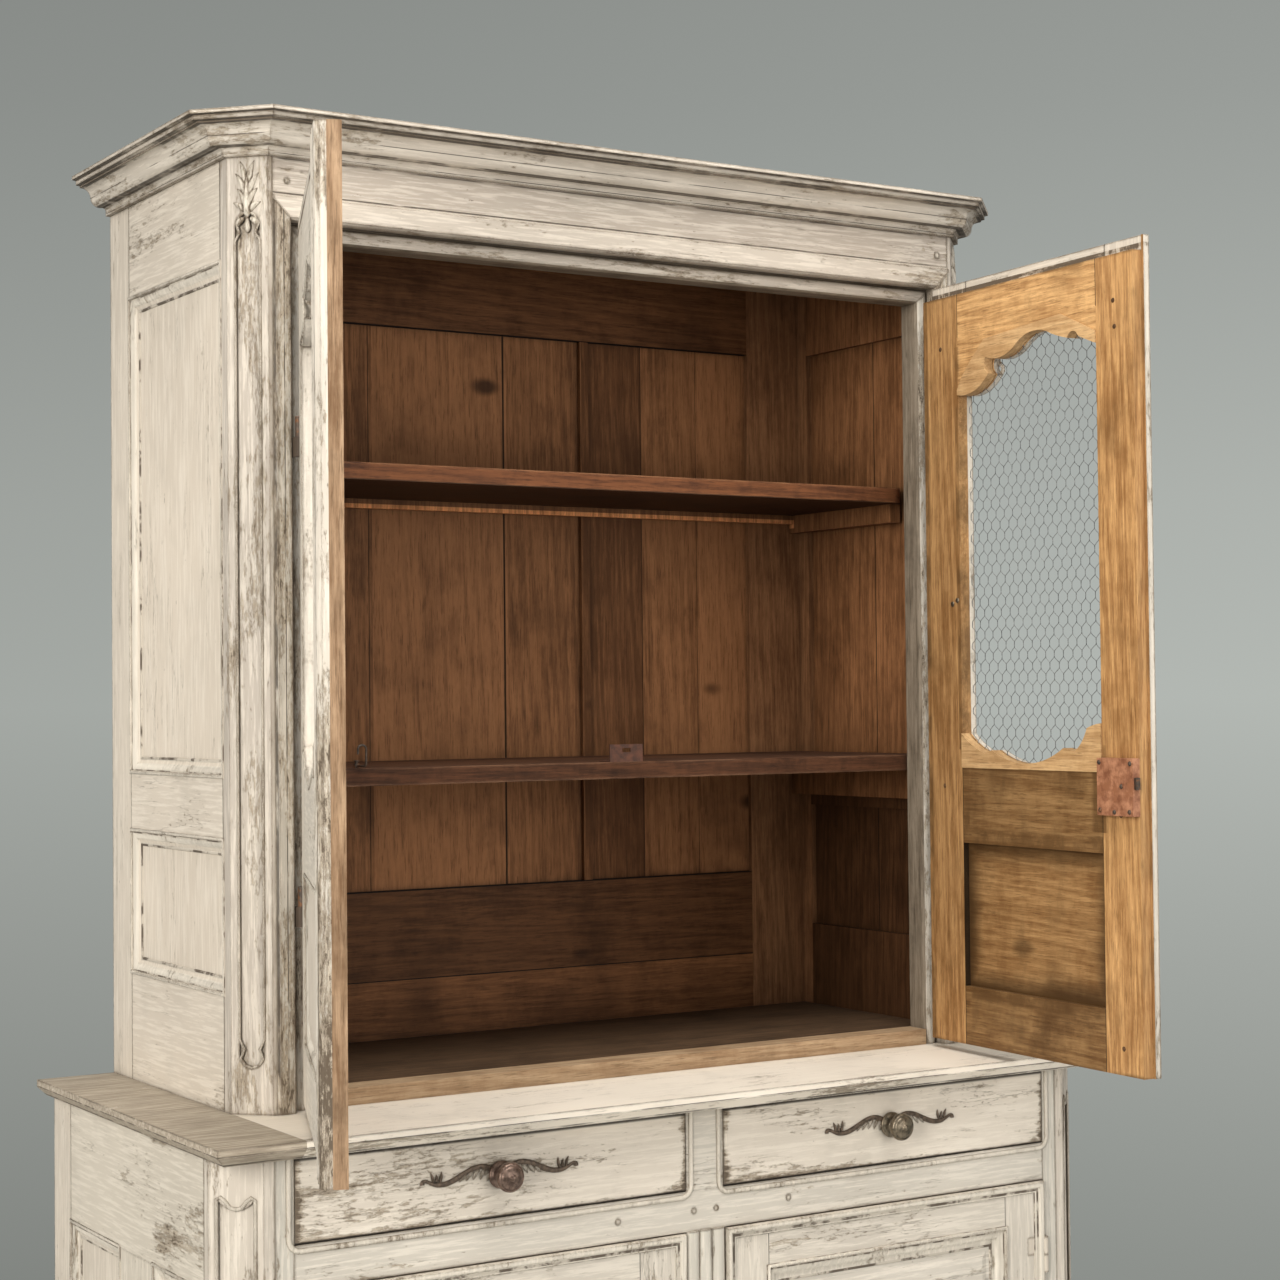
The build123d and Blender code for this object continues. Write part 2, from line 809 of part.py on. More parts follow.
top_outer_shares = [(0.0, 0.08), (0.031, 0.261), (0.109, 0.545), (0.21, 0.852), (0.764, 0.977), (1.0, 0.59)]
top_scallop_shares = [
    (0.0, 0.0), (0.146, 0.034), (0.242, 0.261), (0.21, 0.42), (0.224, 0.545), (0.323, 0.489),
    (0.432, 0.614), (0.56, 0.8), (0.702, 0.693), (0.76, 0.62), (0.811, 0.568), (0.85, 0.66),
    (0.885, 0.568), (0.94, 0.48), (1.0, 0.398),
]
low_scallop_shares = [
    (0.0, 0.76), (0.09, 0.48), (0.177, 0.33), (0.2, 0.36), (0.23, 0.4), (0.42, 0.14),
    (0.745, 0.478), (0.79, 0.44), (0.826, 0.418), (0.87, 0.6), (0.907, 0.896), (0.95, 0.96), (1.0, 1.0),
]


def arcs_through(points):
    """Arcs through each three points of a scalloped edge."""
    return [
        ThreePointArc(points[i], points[i + 1], points[i + 2]) for i in range(0, len(points) - 2, 2)
    ]


def placed(table, start, width, z, height):
    return [(start + x, z + y) for x, y in along(table, width, height)]


def door_shapes(opening):
    """The scalloped edges of the wire opening, left to right from the hinge stile."""
    top_base = door_top - top_rail_drop
    outer = placed(top_outer_shares, hinge_stile, opening, top_base, insert_height)
    scallop = placed(top_scallop_shares, hinge_stile, opening, top_base, insert_height)
    low = placed(low_scallop_shares, hinge_stile, opening, mid_rail_ledge, low_insert_height)
    return outer, scallop, low


def door_rails(opening):
    s0 = hinge_stile
    s1 = hinge_stile + opening
    outer, scallop, low = door_shapes(opening)
    layer = rail_outer_layer
    top_front = door_face(
        [Polyline(scallop[-1], (s1, door_top), (s0, door_top), scallop[0])] + arcs_through(scallop), 0, layer
    )
    top_back = door_outline(outer + [(s1, door_top), (s0, door_top)], layer, door_wood)
    lip = door_block(s0, s1, 0, door_lip_depth, door_top, door_top + door_lip_height)
    mid_front = door_face(
        [Polyline(low[-1], (s1, mid_rail_bottom), (s0, mid_rail_bottom), low[0])] + arcs_through(low), 0, layer
    )
    mid_back = door_block(s0, s1, layer, door_wood, mid_rail_bottom, mid_rail_ledge)
    bottom = door_block(s0, s1, 0, door_wood, door_bottom, bottom_rail_top)
    return [top_front + top_back + lip, mid_front + mid_back, bottom]


def door_inserts(opening):
    """Scalloped pieces on the inner face that trap the wire's edges."""
    outer, scallop, low = door_shapes(opening)
    t0 = rail_outer_layer + mesh_thickness
    t1 = door_wood + insert_proud
    top = door_face([Polyline(scallop[-1], *outer[::-1], scallop[0])] + arcs_through(scallop), t0, t1)
    s0 = hinge_stile
    s1 = hinge_stile + opening
    ledge = mid_rail_ledge
    bottom = door_face([Polyline(low[-1], (s1, ledge), (s0, ledge), low[0])] + arcs_through(low), t0, t1)
    return [top, bottom]


def height_at(points, s):
    for (s0, z0), (s1, z1) in zip(points, points[1:]):
        if s0 <= s <= s1:
            return z0 + (z1 - z0) * (s - s0) / (s1 - s0)
    return points[-1][1]


def door_mesh(opening):
    """Six-sided wire netting, as one flat face with its gaps."""
    s0 = hinge_stile
    s1 = hinge_stile + opening
    outer = door_shapes(opening)[0]
    border = [(s0, mid_rail_ledge)] + outer + [(s1, mid_rail_ledge)]
    radius = (mesh_pitch - mesh_wire) / sqrt(3)
    row_step = mesh_pitch * sqrt(3) / 2
    rows = int((door_top - mid_rail_ledge) / row_step)
    columns = int(opening / mesh_pitch) + 1
    gaps = []
    for row in range(rows):
        z = mid_rail_ledge + mesh_border + radius + row * row_step
        for column in range(columns):
            s = s0 + mesh_border + mesh_pitch / 2 + (column + (row % 2) / 2) * mesh_pitch
            left = s - mesh_pitch / 2
            right = s + mesh_pitch / 2
            ceiling = min(height_at(outer, left), height_at(outer, s), height_at(outer, right))
            if right > s1 - mesh_border or z + radius > ceiling - mesh_border:
                continue
            corners = [
                (s + radius * sin(radians(60 * k)), z + radius * cos(radians(60 * k))) for k in range(6)
            ]
            gaps.append(Wire.make_polygon([(x, y, 0) for x, y in corners]))
    sheet = Face(Wire.make_polygon([(x, y, 0) for x, y in border]), gaps)
    plane = Plane(
        origin=(door_axis_x, door_axis_y + rail_outer_layer, base), x_dir=(-1, 0, 0), z_dir=(0, 1, 0)
    )
    return extrude(plane * sheet, amount=mesh_thickness, dir=(0, 1, 0))


def door_panel(opening):
    """The low panel, raised towards the outer face."""
    s = hinge_stile + opening / 2
    height = mid_rail_bottom - bottom_rail_top
    plane = front_plane(door_axis_x - s, door_axis_y + door_panel_inset, base + bottom_rail_top + height / 2)
    plate = extrude(plane * Rectangle(opening, height), amount=-door_panel_wood)
    margin = 2 * door_panel_bevel
    foot = plane * Rectangle(opening - margin / 2, height - margin / 2)
    crown = plane.offset(door_panel_raise) * Rectangle(opening - margin, height - margin)
    return plate + loft([foot, crown], ruled=True)


def upper_door(frame_width, edge_lip):
    """Stiles, rails, inserts, mesh and panel of a door that is drawn closed on the right."""
    opening = frame_width - hinge_stile - lock_stile
    lip_top = door_top + door_lip_height
    stiles = []
    for s0, s1 in ((0, hinge_stile), (frame_width - lock_stile, frame_width)):
        stile = door_block(s0, s1, 0, door_wood, door_bottom, door_top)
        stiles.append(stile + door_block(s0, s1, 0, door_lip_depth, door_top, lip_top))
    if edge_lip > 0:
        stiles[1] += door_block(
            frame_width, frame_width + edge_lip, 0, right_edge_lip_depth, door_bottom, lip_top
        )
    sockets = []
    for z in upper_hinge_heights():
        stiles[0] -= hinge_notch(door_axis_x, door_axis_y, z)
        stiles[0] -= leaf_slot(door_axis_x, door_axis_y, z)
        sockets.append(socket_half(door_axis_x, door_axis_y, z))
    return {
        "frame": stiles + door_rails(opening),
        "scalloped_inserts": door_inserts(opening),
        "wire_mesh": [door_mesh(opening)],
        "panel": [door_panel(opening)],
        "hinge_halves": sockets,
    }


def meeting_strip():
    """Reeded strip on the left door's free edge, drawn as on the right."""
    s0 = left_frame_width
    z0 = door_bottom
    z1 = door_top + door_lip_height
    strip = reeded(
        meeting_strip_width, meeting_strip_wood, base + z0, base + z1,
        door_axis_x - s0 - meeting_strip_width / 2, door_axis_y,
    )
    return strip


def lock_parts():
    """The lock's case, its bolt and the key, on the right door drawn closed."""
    t0 = door_wood
    s1 = lock_start + lock_width
    case = door_block(lock_start, s1, t0, t0 + lock_depth, lock_bottom, lock_bottom + lock_height)
    gap = running_gap
    bolt_z = lock_bottom + bolt_rise
    bolt_t = t0 + (lock_depth - bolt_depth) / 2
    room = door_block(
        bolt_start - gap, s1 + overrun, bolt_t - gap, bolt_t + bolt_depth + gap,
        bolt_z - gap, bolt_z + bolt_height + gap,
    )
    bolt = door_block(
        bolt_start, bolt_start + bolt_length, bolt_t, bolt_t + bolt_depth, bolt_z, bolt_z + bolt_height
    )
    key_s = right_body_width - key_from_edge
    key_z = lock_bottom + key_rise
    x = door_axis_x - key_s
    z = base + key_z
    spin = Plane(origin=(x, door_axis_y, z), x_dir=(1, 0, 0), z_dir=(0, 1, 0))
    end = t0 + lock_depth - lock_wall - running_gap
    shaft = extrude(spin.offset(-key_reach) * Circle(key_radius), amount=key_reach + end)
    bow = spin.offset(-key_reach - key_bow_radius) * Rot(90, 0, 0) * Torus(key_bow_radius, key_bow_wire)
    bit = block(
        x - key_bit_thickness / 2, x + key_bit_thickness / 2, door_axis_y + end - key_bit_length,
        door_axis_y + end, z - key_bit_width, z,
    )
    key = shaft + bow + bit
    tunnel = extrude(
        spin.offset(-overrun) * Circle(key_radius + key_hole_gap), amount=overrun + end + running_gap
    )
    chamber = extrude(
        spin.offset(end - key_bit_length - running_gap) * Circle(key_bit_width + 2 * running_gap),
        amount=key_bit_length + 2 * running_gap,
    )
    return case - room - tunnel - chamber, bolt, key, tunnel


def swing(shapes, angle, x, y):
    axis = Axis((x, y, 0), (0, 0, 1))
    return [shape.rotate(axis, angle) for shape in shapes]


def upper_doors():
    nodes = {}
    right = upper_door(right_body_width, right_edge_lip)
    case, bolt, key, tunnel = lock_parts()
    right["frame"] = [piece - tunnel for piece in right["frame"]]
    right["lock_case"] = [case]
    for name, pieces in right.items():
        nodes["right_door_" + name] = swing(pieces, right_open_angle, door_axis_x, door_axis_y)
    nodes["lock_bolt"] = swing([bolt], right_open_angle, door_axis_x, door_axis_y)
    nodes["key"] = swing([key], right_open_angle, door_axis_x, door_axis_y)
    left = upper_door(left_frame_width, 0)
    left["meeting_strip"] = [meeting_strip()]
    for name, pieces in left.items():
        flipped = [mirror(piece, about=Plane.YZ) for piece in pieces]
        nodes["left_door_" + name] = swing(flipped, -left_open_angle, -door_axis_x, door_axis_y)
    return nodes


# Lower doors
def lower_door():
    """The right door, closed: frame, fielded panel and hinge sockets."""
    x1 = stile_edge - door_gap
    x0 = centre_stile_width / 2 + door_gap
    z0 = door_opening_bottom + door_gap
    z1 = door_opening_top - door_gap
    y0 = front
    y1 = front + lower_door_wood
    inner0 = x0 + lower_door_stile
    inner1 = x1 - lower_door_stile
    low = z0 + lower_door_bottom_rail
    high = z1 - lower_door_top_rail
    frame = [
        block(x0, inner0, y0, y1, z0, z1),
        block(inner1, x1, y0, y1, z0, z1),
        block(inner0, inner1, y0, y1, high, z1),
        block(inner0, inner1, y0, y1, z0, low),
    ]
    sockets = []
    for z in lower_hinge_heights():
        frame[1] -= hinge_notch(lower_axis_x, lower_axis_y, z)
        frame[1] -= leaf_slot(lower_axis_x, lower_axis_y, z)
        sockets.append(socket_half(lower_axis_x, lower_axis_y, z))
    plane = front_plane((inner0 + inner1) / 2, front + panel_inset, (low + high) / 2)
    width = inner1 - inner0
    height = high - low
    panel = sunk_panel(
        plane, width, height, lower_panel_wood, panel_rim, lower_panel_moulding, lower_panel_depth
    )
    margin = 2 * (panel_rim + lower_panel_moulding)
    bed = plane.offset(-lower_panel_depth)
    foot = bed * Rectangle(width - margin * 3 / 2, height - margin * 3 / 2)
    crown = bed.offset(lower_panel_depth / 2) * Rectangle(width - 2 * margin, height - 2 * margin)
    panel += loft([foot, crown], ruled=True)
    return frame, panel, sockets


# Drawers
def backplate(x, z):
    """A scrolled plate, wide and thin, with a round middle."""
    length = backplate_half_length
    height = backplate_half_height
    upper_shares = [(0.0, 0.9), (0.3, 0.6), (0.55, -0.25), (0.8, -0.5), (1.0, 0.8)]
    lower_shares = [(1.0, 0.8), (0.82, -0.95), (0.55, -0.8), (0.28, -0.15), (0.0, -0.9)]
    upper = along(upper_shares, length, height)
    lower = along(lower_shares, length, height)
    arm = face_of(*arcs_through(upper), *arcs_through(lower), Line(lower[-1], upper[0]))
    plane = front_plane(x, front - drawer_proud, z)
    disc = Circle(height)
    outline = arm + mirror(arm, about=Plane.YZ) + disc
    return extrude(plane * outline, amount=backplate_thickness)


def knob(x, z):
    """A turned knob on a round rose, standing on the backplate."""
    reach = knob_reach
    profile = face_of(
        Polyline(
            (0, reach), (0, 0), (knob_rose_radius, 0), (knob_rose_radius, knob_rose_height / 2),
            (knob_neck_radius, knob_rose_height), (knob_neck_radius, reach / 3),
        ),
        Spline(
            (knob_neck_radius, reach / 3), (knob_radius, reach * 2 / 3), (0, reach),
            tangents=[(1, 1 / 3), (-1, 0)],
        ),
    )
    solid = revolve(profile, axis=Axis.Y)
    face = front - drawer_proud - backplate_thickness
    return Pos(x, face, z) * Rot(180, 0, 0) * solid


def drawer(side):
    """Front, box, backplate and knob of the drawer on one side."""
    inner = drawer_divider_width / 2 + drawer_gap
    outer = stile_edge - drawer_gap
    x0 = side * inner
    x1 = side * outer
    z0 = drawer_bottom_z + drawer_gap
    z1 = case_top - drawer_gap
    y0 = front - drawer_proud
    y1 = y0 + drawer_front_wood
    face = block(x0, x1, y0, y1, z0, z1)
    face = chamfer(face.faces().sort_by(Axis.Y)[0].edges(), drawer_proud, drawer_bevel)
    low = drawer_bottom_z + 2 * running_gap
    high = low + drawer_box_height
    y2 = y1 + drawer_box_depth
    in0 = x0 + side * drawer_side_wood
    in1 = x1 - side * drawer_side_wood
    z_floor = low + drawer_bottom_wood
    box = [
        block(x0, in0, y1, y2, low, high),
        block(x1, in1, y1, y2, low, high),
        block(in0, in1, y2 - drawer_side_wood, y2, z_floor, high),
        block(in0, in1, y1, y2, low, z_floor),
    ]
    x = (x0 + x1) / 2
    z = (z0 + z1) / 2
    return face, box, backplate(x, z), knob(x, z)


# Small fittings
def catch_plate():
    """A bent iron plate with a slot, on the middle shelf's front edge."""
    z = base + middle_shelf_bottom + shelf_thickness
    y = u_back_face - middle_shelf_depth
    x0 = catch_offset - catch_width / 2
    x1 = catch_offset + catch_width / 2
    plate = block(x0, x1, y, y + catch_base, z, z + catch_plate_thickness)
    plate += block(x0, x1, y, y + catch_plate_thickness, z, z + catch_height)
    slot_z = z + catch_height * 2 / 3
    slot = block(
        catch_offset - catch_slot_width / 2, catch_offset + catch_slot_width / 2,
        y - overrun, y + catch_plate_thickness + overrun, slot_z - catch_slot_height / 2,
        slot_z + catch_slot_height / 2,
    )
    return plate - slot


def hook_parts():
    """A pin in the middle shelf and the wire hook that turns on it."""
    z = base + middle_shelf_bottom + shelf_thickness
    y = u_back_face - middle_shelf_depth + hook_from_front
    length = hook_pin_seat + hook_pin_rise
    pin = Pos(hook_x, y, z - hook_pin_seat + length / 2) * Cylinder(hook_pin_radius, length)
    head = Pos(hook_x, y, z + hook_pin_rise + hook_head_height / 2)
    pin_with_head = pin + head * Cylinder(hook_head_radius, hook_head_height)
    z0 = z + running_gap
    middle = z0 + hook_sleeve_height / 2
    sleeve = Pos(hook_x, y, middle) * Cylinder(hook_sleeve_radius, hook_sleeve_height)
    sleeve -= Pos(hook_x, y, middle) * Cylinder(
        hook_pin_radius + hinge_running_gap, hook_sleeve_height + overrun
    )
    start = (hook_x, y - hook_sleeve_radius + hook_wire / 2, middle)
    bend = (hook_x, y - hook_arm, middle)
    top = (hook_x, y - hook_arm, middle + hook_rise)
    curl = (hook_x - hook_curl, y - hook_arm, middle + hook_rise)
    end = (hook_x - hook_curl, y - hook_arm, middle + hook_rise - hook_curl)
    path = FilletPolyline(start, bend, top, curl, end, radius=hook_bend_radius)
    section = Plane(origin=start, z_dir=(0, -1, 0)) * Circle(hook_wire)
    return pin_with_head, sleeve + sweep(section, path=path), pin


def pegs():
    """Oak pegs in the joints: their places are shares of the rails that they pin."""
    round_pegs = []
    rail_z = (door_opening_top + drawer_bottom_z) / 2
    for share in rail_peg_shares:
        plane = front_plane(share * stile_edge, front - peg_proud, rail_z)
        round_pegs.append(extrude(plane * Circle(peg_radius), amount=-peg_length))
    frieze_z = base + upper_opening_height + upper_head_height + peg_length
    edge = u_half - upper_cant - upper_post_strip - front_wood / 2
    plane = front_plane(-edge, u_front - peg_proud, frieze_z)
    upper_peg = extrude(plane * Circle(peg_radius), amount=-peg_length)
    plane = front_plane(edge, u_front - peg_proud, frieze_z)
    square_peg = extrude(plane * Rectangle(2 * peg_radius, 2 * peg_radius), amount=-peg_length)
    return round_pegs, [upper_peg, square_peg]


def cut_from(piece, tools):
    for tool in tools:
        piece -= tool
    return piece


def write_nodes(nodes):
    os.makedirs("parts", exist_ok=True)
    for name, pieces in nodes.items():
        solids = [solid for piece in pieces for solid in piece.solids()]
        shape = solids[0] if len(solids) == 1 else Compound(children=solids)
        export_step(shape, "parts/" + name + ".step")


def build():
    nodes = {}
    hinges = case_hinges()
    rail_pegs, frieze_pegs = pegs()

    nodes["lower_top_board"] = [lower_top()]
    nodes["lower_front_posts"] = both(lower_post())
    rear = block(-half, rear_post_depth - half, back - rear_post_width, back, 0, case_top)
    nodes["lower_rear_posts"] = both(rear)
    rails, panels = lower_side_parts()
    nodes["lower_side_rails"] = [piece for rail in rails for piece in both(rail)]
    nodes["lower_side_panels"] = [piece for panel in panels for piece in both(panel)]
    stiles, rail, divider = lower_front_parts()
    notches = [both(hinge_notch(lower_axis_x, lower_axis_y, z)) for z in lower_hinge_heights()]
    notches = [notch for pair in notches for notch in pair]
    nodes["lower_front_stiles"] = [cut_from(stile, notches + hinges) for stile in stiles]
    nodes["drawer_rails"] = [cut_from(rail, rail_pegs), divider]
    nodes["apron_and_brackets"] = [apron()] + foot_brackets()
    floor, shelf, runners = lower_inside()
    posts = nodes["lower_front_posts"] + nodes["lower_rear_posts"]
    nodes["lower_floor_board"] = [cut_from(floor, posts)]
    nodes["lower_shelf"] = [cut_from(shelf, posts)]
    nodes["drawer_runners"] = runners
    nodes["lower_back_boards"] = lower_back()

    nodes["upper_front_posts"] = both(upper_post())
    rear_parts, back_boards = upper_back()
    nodes["upper_rear_posts"] = rear_parts
    nodes["upper_back_boards"] = back_boards
    rails, panels = upper_side_parts()
    nodes["upper_side_rails"] = [piece for rail in rails for piece in both(rail)]
    nodes["upper_side_panels"] = [piece for panel in panels for piece in both(panel)]
    stiles, head = upper_frame()
    nodes["upper_front_stiles"] = [cut_from(stile, hinges) for stile in stiles]
    nodes["upper_head_moulding"] = [head]
    nodes["frieze_board"] = [cut_from(frieze(), frieze_pegs)]
    nodes["cornice"] = cornice()
    floor, sill, roof = upper_inside()
    nodes["upper_floor_board"] = [floor]
    nodes["sill_rail"] = [sill]
    nodes["roof_boards"] = [roof]
    upper, middle, cleats = shelves()
    pin, hook, pin_seat = hook_parts()
    nodes["upper_shelf"] = [upper]
    nodes["middle_shelf"] = [middle - pin_seat]
    nodes["shelf_cleats"] = cleats
    nodes["catch_plate"] = [catch_plate()]
    nodes["hook_pin"] = [pin]
    nodes["door_hook"] = [hook]
    nodes["joint_pegs"] = rail_pegs + frieze_pegs
    nodes["case_hinge_halves"] = hinges

    nodes.update(upper_doors())
    frame, panel, sockets = lower_door()
    for name, pieces in (("frame", frame), ("panel", [panel]), ("hinge_halves", sockets)):
        nodes["lower_right_door_" + name] = pieces
        nodes["lower_left_door_" + name] = [mirror(piece, about=Plane.YZ) for piece in pieces]
    for side, word in ((-1, "left"), (1, "right")):
        face, box, plate, turned = drawer(side)
        nodes[word + "_drawer_front"] = [face]
        nodes[word + "_drawer_box"] = box
        nodes[word + "_drawer_backplate"] = [plate]
        nodes[word + "_drawer_knob"] = [turned]
    write_nodes(nodes)


build()
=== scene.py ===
import json
from math import atan2, cos, hypot, pi, radians, sin, sqrt, tan

import bpy
from mathutils import Matrix, Vector

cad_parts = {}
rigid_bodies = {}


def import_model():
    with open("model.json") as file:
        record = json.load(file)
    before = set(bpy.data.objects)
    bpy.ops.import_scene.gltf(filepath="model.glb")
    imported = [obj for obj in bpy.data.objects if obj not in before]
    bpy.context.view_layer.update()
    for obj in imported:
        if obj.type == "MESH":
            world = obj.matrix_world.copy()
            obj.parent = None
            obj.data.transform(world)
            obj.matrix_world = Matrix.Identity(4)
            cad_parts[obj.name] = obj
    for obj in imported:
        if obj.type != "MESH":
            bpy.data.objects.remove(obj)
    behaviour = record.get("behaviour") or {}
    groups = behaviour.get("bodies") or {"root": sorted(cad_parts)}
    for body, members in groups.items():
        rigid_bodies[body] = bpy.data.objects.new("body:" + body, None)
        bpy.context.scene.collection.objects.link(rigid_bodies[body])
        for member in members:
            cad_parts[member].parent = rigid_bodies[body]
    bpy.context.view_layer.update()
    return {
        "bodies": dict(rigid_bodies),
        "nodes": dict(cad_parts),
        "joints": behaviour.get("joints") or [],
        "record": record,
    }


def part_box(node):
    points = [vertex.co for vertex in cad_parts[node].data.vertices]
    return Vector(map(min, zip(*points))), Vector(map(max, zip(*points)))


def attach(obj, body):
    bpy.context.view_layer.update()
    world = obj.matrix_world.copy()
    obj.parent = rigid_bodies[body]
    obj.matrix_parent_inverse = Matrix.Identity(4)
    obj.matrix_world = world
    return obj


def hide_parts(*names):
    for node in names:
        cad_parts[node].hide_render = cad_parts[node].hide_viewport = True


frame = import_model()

NODES = frame["nodes"]

# Planes of the cupboard, in metres, as the solids have them
HALF = 0.695
FRONT = -0.310
BACK = 0.310
BASE = 0.980
U_HALF = 0.607
U_FRONT = -0.167
U_TOP = 2.242
RIGHT_OPEN = radians(86.3)
LEFT_OPEN = radians(-111.8)
DOOR_AXIS_X = 0.530
DOOR_AXIS_Y = -0.179
LOWER_STILE = 0.072
LOWER_TOP_RAIL = 0.063
LOWER_BOTTOM_RAIL = 0.080


# Camera, lights and stage
def camera():
    """The photograph's view: focal length, place and tilt fitted to its edges."""
    azimuth, pitch, roll = radians(32.1), radians(1.47), radians(-0.57)
    forward = Vector((sin(azimuth) * cos(pitch), cos(azimuth) * cos(pitch), sin(pitch)))
    right = Vector((cos(azimuth), -sin(azimuth), 0))
    up = right.cross(forward)
    side = right * cos(roll) + up * sin(roll)
    top = up * cos(roll) - right * sin(roll)
    data = bpy.data.cameras.new("view_camera")
    data.lens = 67.96
    data.sensor_width = 36
    data.sensor_fit = "HORIZONTAL"
    data.clip_end = 60
    obj = bpy.data.objects.new("view_camera", data)
    turn = Matrix((side, top, -forward)).transposed().to_4x4()
    obj.matrix_world = Matrix.Translation((-1.8162, -3.05399, 1.50526)) @ turn
    bpy.context.scene.collection.objects.link(obj)
    bpy.context.scene.camera = obj


def area_light(name, place, target, size, power, colour):
    data = bpy.data.lights.new(name, "AREA")
    data.shape = "RECTANGLE"
    data.size, data.size_y = size
    data.energy = power
    data.color = colour
    obj = bpy.data.objects.new(name, data)
    aim = (Vector(target) - Vector(place)).to_track_quat("-Z", "Y")
    obj.matrix_world = Matrix.Translation(place) @ aim.to_matrix().to_4x4()
    bpy.context.scene.collection.objects.link(obj)


def lights():
    area_light("key_light", (-4.3, -2.6, 2.2), (0, -0.1, 1.1), (2.0, 2.6), 235, (1, 0.975, 0.93))
    area_light("fill_light", (1.2, -4.6, 1.4), (0, -0.1, 1.2), (2.4, 2.2), 62, (1, 0.975, 0.94))
    area_light("top_light", (-0.3, -1.6, 4.4), (0, -0.2, 1.2), (2.6, 2.0), 135, (1, 0.98, 0.95))


def world():
    """A blue-grey studio backdrop, lighter at eye level, and a soft even light."""
    scene_world = bpy.data.worlds.new("studio")
    bpy.context.scene.world = scene_world
    scene_world.use_nodes = True
    tree = scene_world.node_tree
    tree.nodes.clear()
    output = tree.nodes.new("ShaderNodeOutputWorld")
    coords = tree.nodes.new("ShaderNodeTexCoord")
    split = add(tree, "SeparateXYZ", {0: coords.outputs["Generated"]})
    level = calc(tree, "MULTIPLY_ADD", split.outputs[2], 1.0, 0.5)
    glow = ramp(tree, level, [
        (0.20, (0.215, 0.228, 0.212)),
        (0.28, (0.250, 0.264, 0.246)),
        (0.40, (0.335, 0.352, 0.330)),
        (0.50, (0.412, 0.436, 0.410)),
        (0.58, (0.385, 0.406, 0.382)),
        (0.74, (0.290, 0.306, 0.290)),
        (0.95, (0.210, 0.222, 0.210)),
    ])
    turned = add(tree, "VectorMath", {0: coords.outputs["Generated"], 1: (0.847, -0.531, 0)}, operation="DOT_PRODUCT")
    lift = calc(tree, "MULTIPLY_ADD", ramp_value(tree, turned.outputs["Value"], -0.35, 0.35), 0.22, 0.89)
    glow = add(tree, "VectorMath", {0: glow, 1: lift}, operation="MULTIPLY").outputs[0]
    seen = add(tree, "Background", {"Color": glow})
    ambient = add(tree, "Background", {"Color": (0.97, 0.98, 1.0, 1), "Strength": 0.30})
    rays = tree.nodes.new("ShaderNodeLightPath").outputs
    plain = calc(tree, "MAXIMUM", rays["Is Camera Ray"], rays["Is Glossy Ray"])
    plain = calc(tree, "MAXIMUM", plain, rays["Is Transmission Ray"])
    blend = add(tree, "MixShader", {0: plain, 1: ambient.outputs[0], 2: seen.outputs[0]})
    tree.links.new(blend.outputs[0], output.inputs[0])


def floor():
    """A round pale floor that fades into the backdrop at its rim."""
    radius = 2.3
    count = 96
    rim = [(radius * cos(2 * pi * i / count), radius * sin(2 * pi * i / count), 0) for i in range(count)]
    obj = mesh_object("studio_floor", rim, [list(range(count))])
    material, tree, shader = new_material("pale_floor")
    place = tree.nodes.new("ShaderNodeTexCoord").outputs["Object"]
    speck = noise(tree, place, 2.0, 3, 0.5)
    shader.inputs["Roughness"].default_value = 0.7
    tree.links.new(ramp(tree, speck, [(0.3, (0.60, 0.61, 0.59)), (0.7, (0.64, 0.65, 0.63))]), shader.inputs[0])
    far = add(tree, "VectorMath", {0: place}, operation="LENGTH").outputs["Value"]
    fade = ramp_value(tree, far, 1.3, 2.25)
    clear = add(tree, "BsdfTransparent")
    both = add(tree, "MixShader", {0: fade, 1: shader.outputs[0], 2: clear.outputs[0]})
    output = next(n for n in tree.nodes if n.type == "OUTPUT_MATERIAL")
    tree.links.new(both.outputs[0], output.inputs[0])
    obj.data.materials.append(material)


# Node helpers
def add(tree, kind, inputs=None, **settings):
    node = tree.nodes.new("ShaderNode" + kind)
    for key, value in settings.items():
        setattr(node, key, value)
    for key, value in (inputs or {}).items():
        socket = node.inputs[key]
        if isinstance(value, bpy.types.NodeSocket):
            tree.links.new(value, socket)
        elif isinstance(value, bpy.types.Node):
            tree.links.new(value.outputs[0], socket)
        else:
            socket.default_value = value
    return node


def new_material(name):
    material = bpy.data.materials.new(name)
    material.use_nodes = True
    tree = material.node_tree
    tree.nodes.clear()
    output = tree.nodes.new("ShaderNodeOutputMaterial")
    shader = tree.nodes.new("ShaderNodeBsdfPrincipled")
    tree.links.new(shader.outputs[0], output.inputs[0])
    return material, tree, shader


def calc(tree, operation, a, b=None, c=None, clamp=False):
    values = {i: v for i, v in enumerate((a, b, c)) if v is not None}
    return add(tree, "Math", values, operation=operation, use_clamp=clamp).outputs[0]


def mix(tree, factor, a, b, kind="MIX"):
    node = add(tree, "Mix", data_type="RGBA", blend_type=kind)
    for index, value in ((0, factor), (6, a), (7, b)):
        if isinstance(value, bpy.types.NodeSocket):
            tree.links.new(value, node.inputs[index])
        elif index:
            node.inputs[index].default_value = (*value, 1)
        else:
            node.inputs[index].default_value = value
    return node.outputs[2]


def ramp(tree, factor, stops, interpolation="LINEAR"):
    node = add(tree, "ValToRGB", {0: factor})
    elements = node.color_ramp.elements
    node.color_ramp.interpolation = interpolation
    while len(elements) < len(stops):
        elements.new(0.5)
    for element, (position, colour) in zip(elements, stops):
        element.position = position
        element.color = (*colour, 1)
    return node.outputs[0]


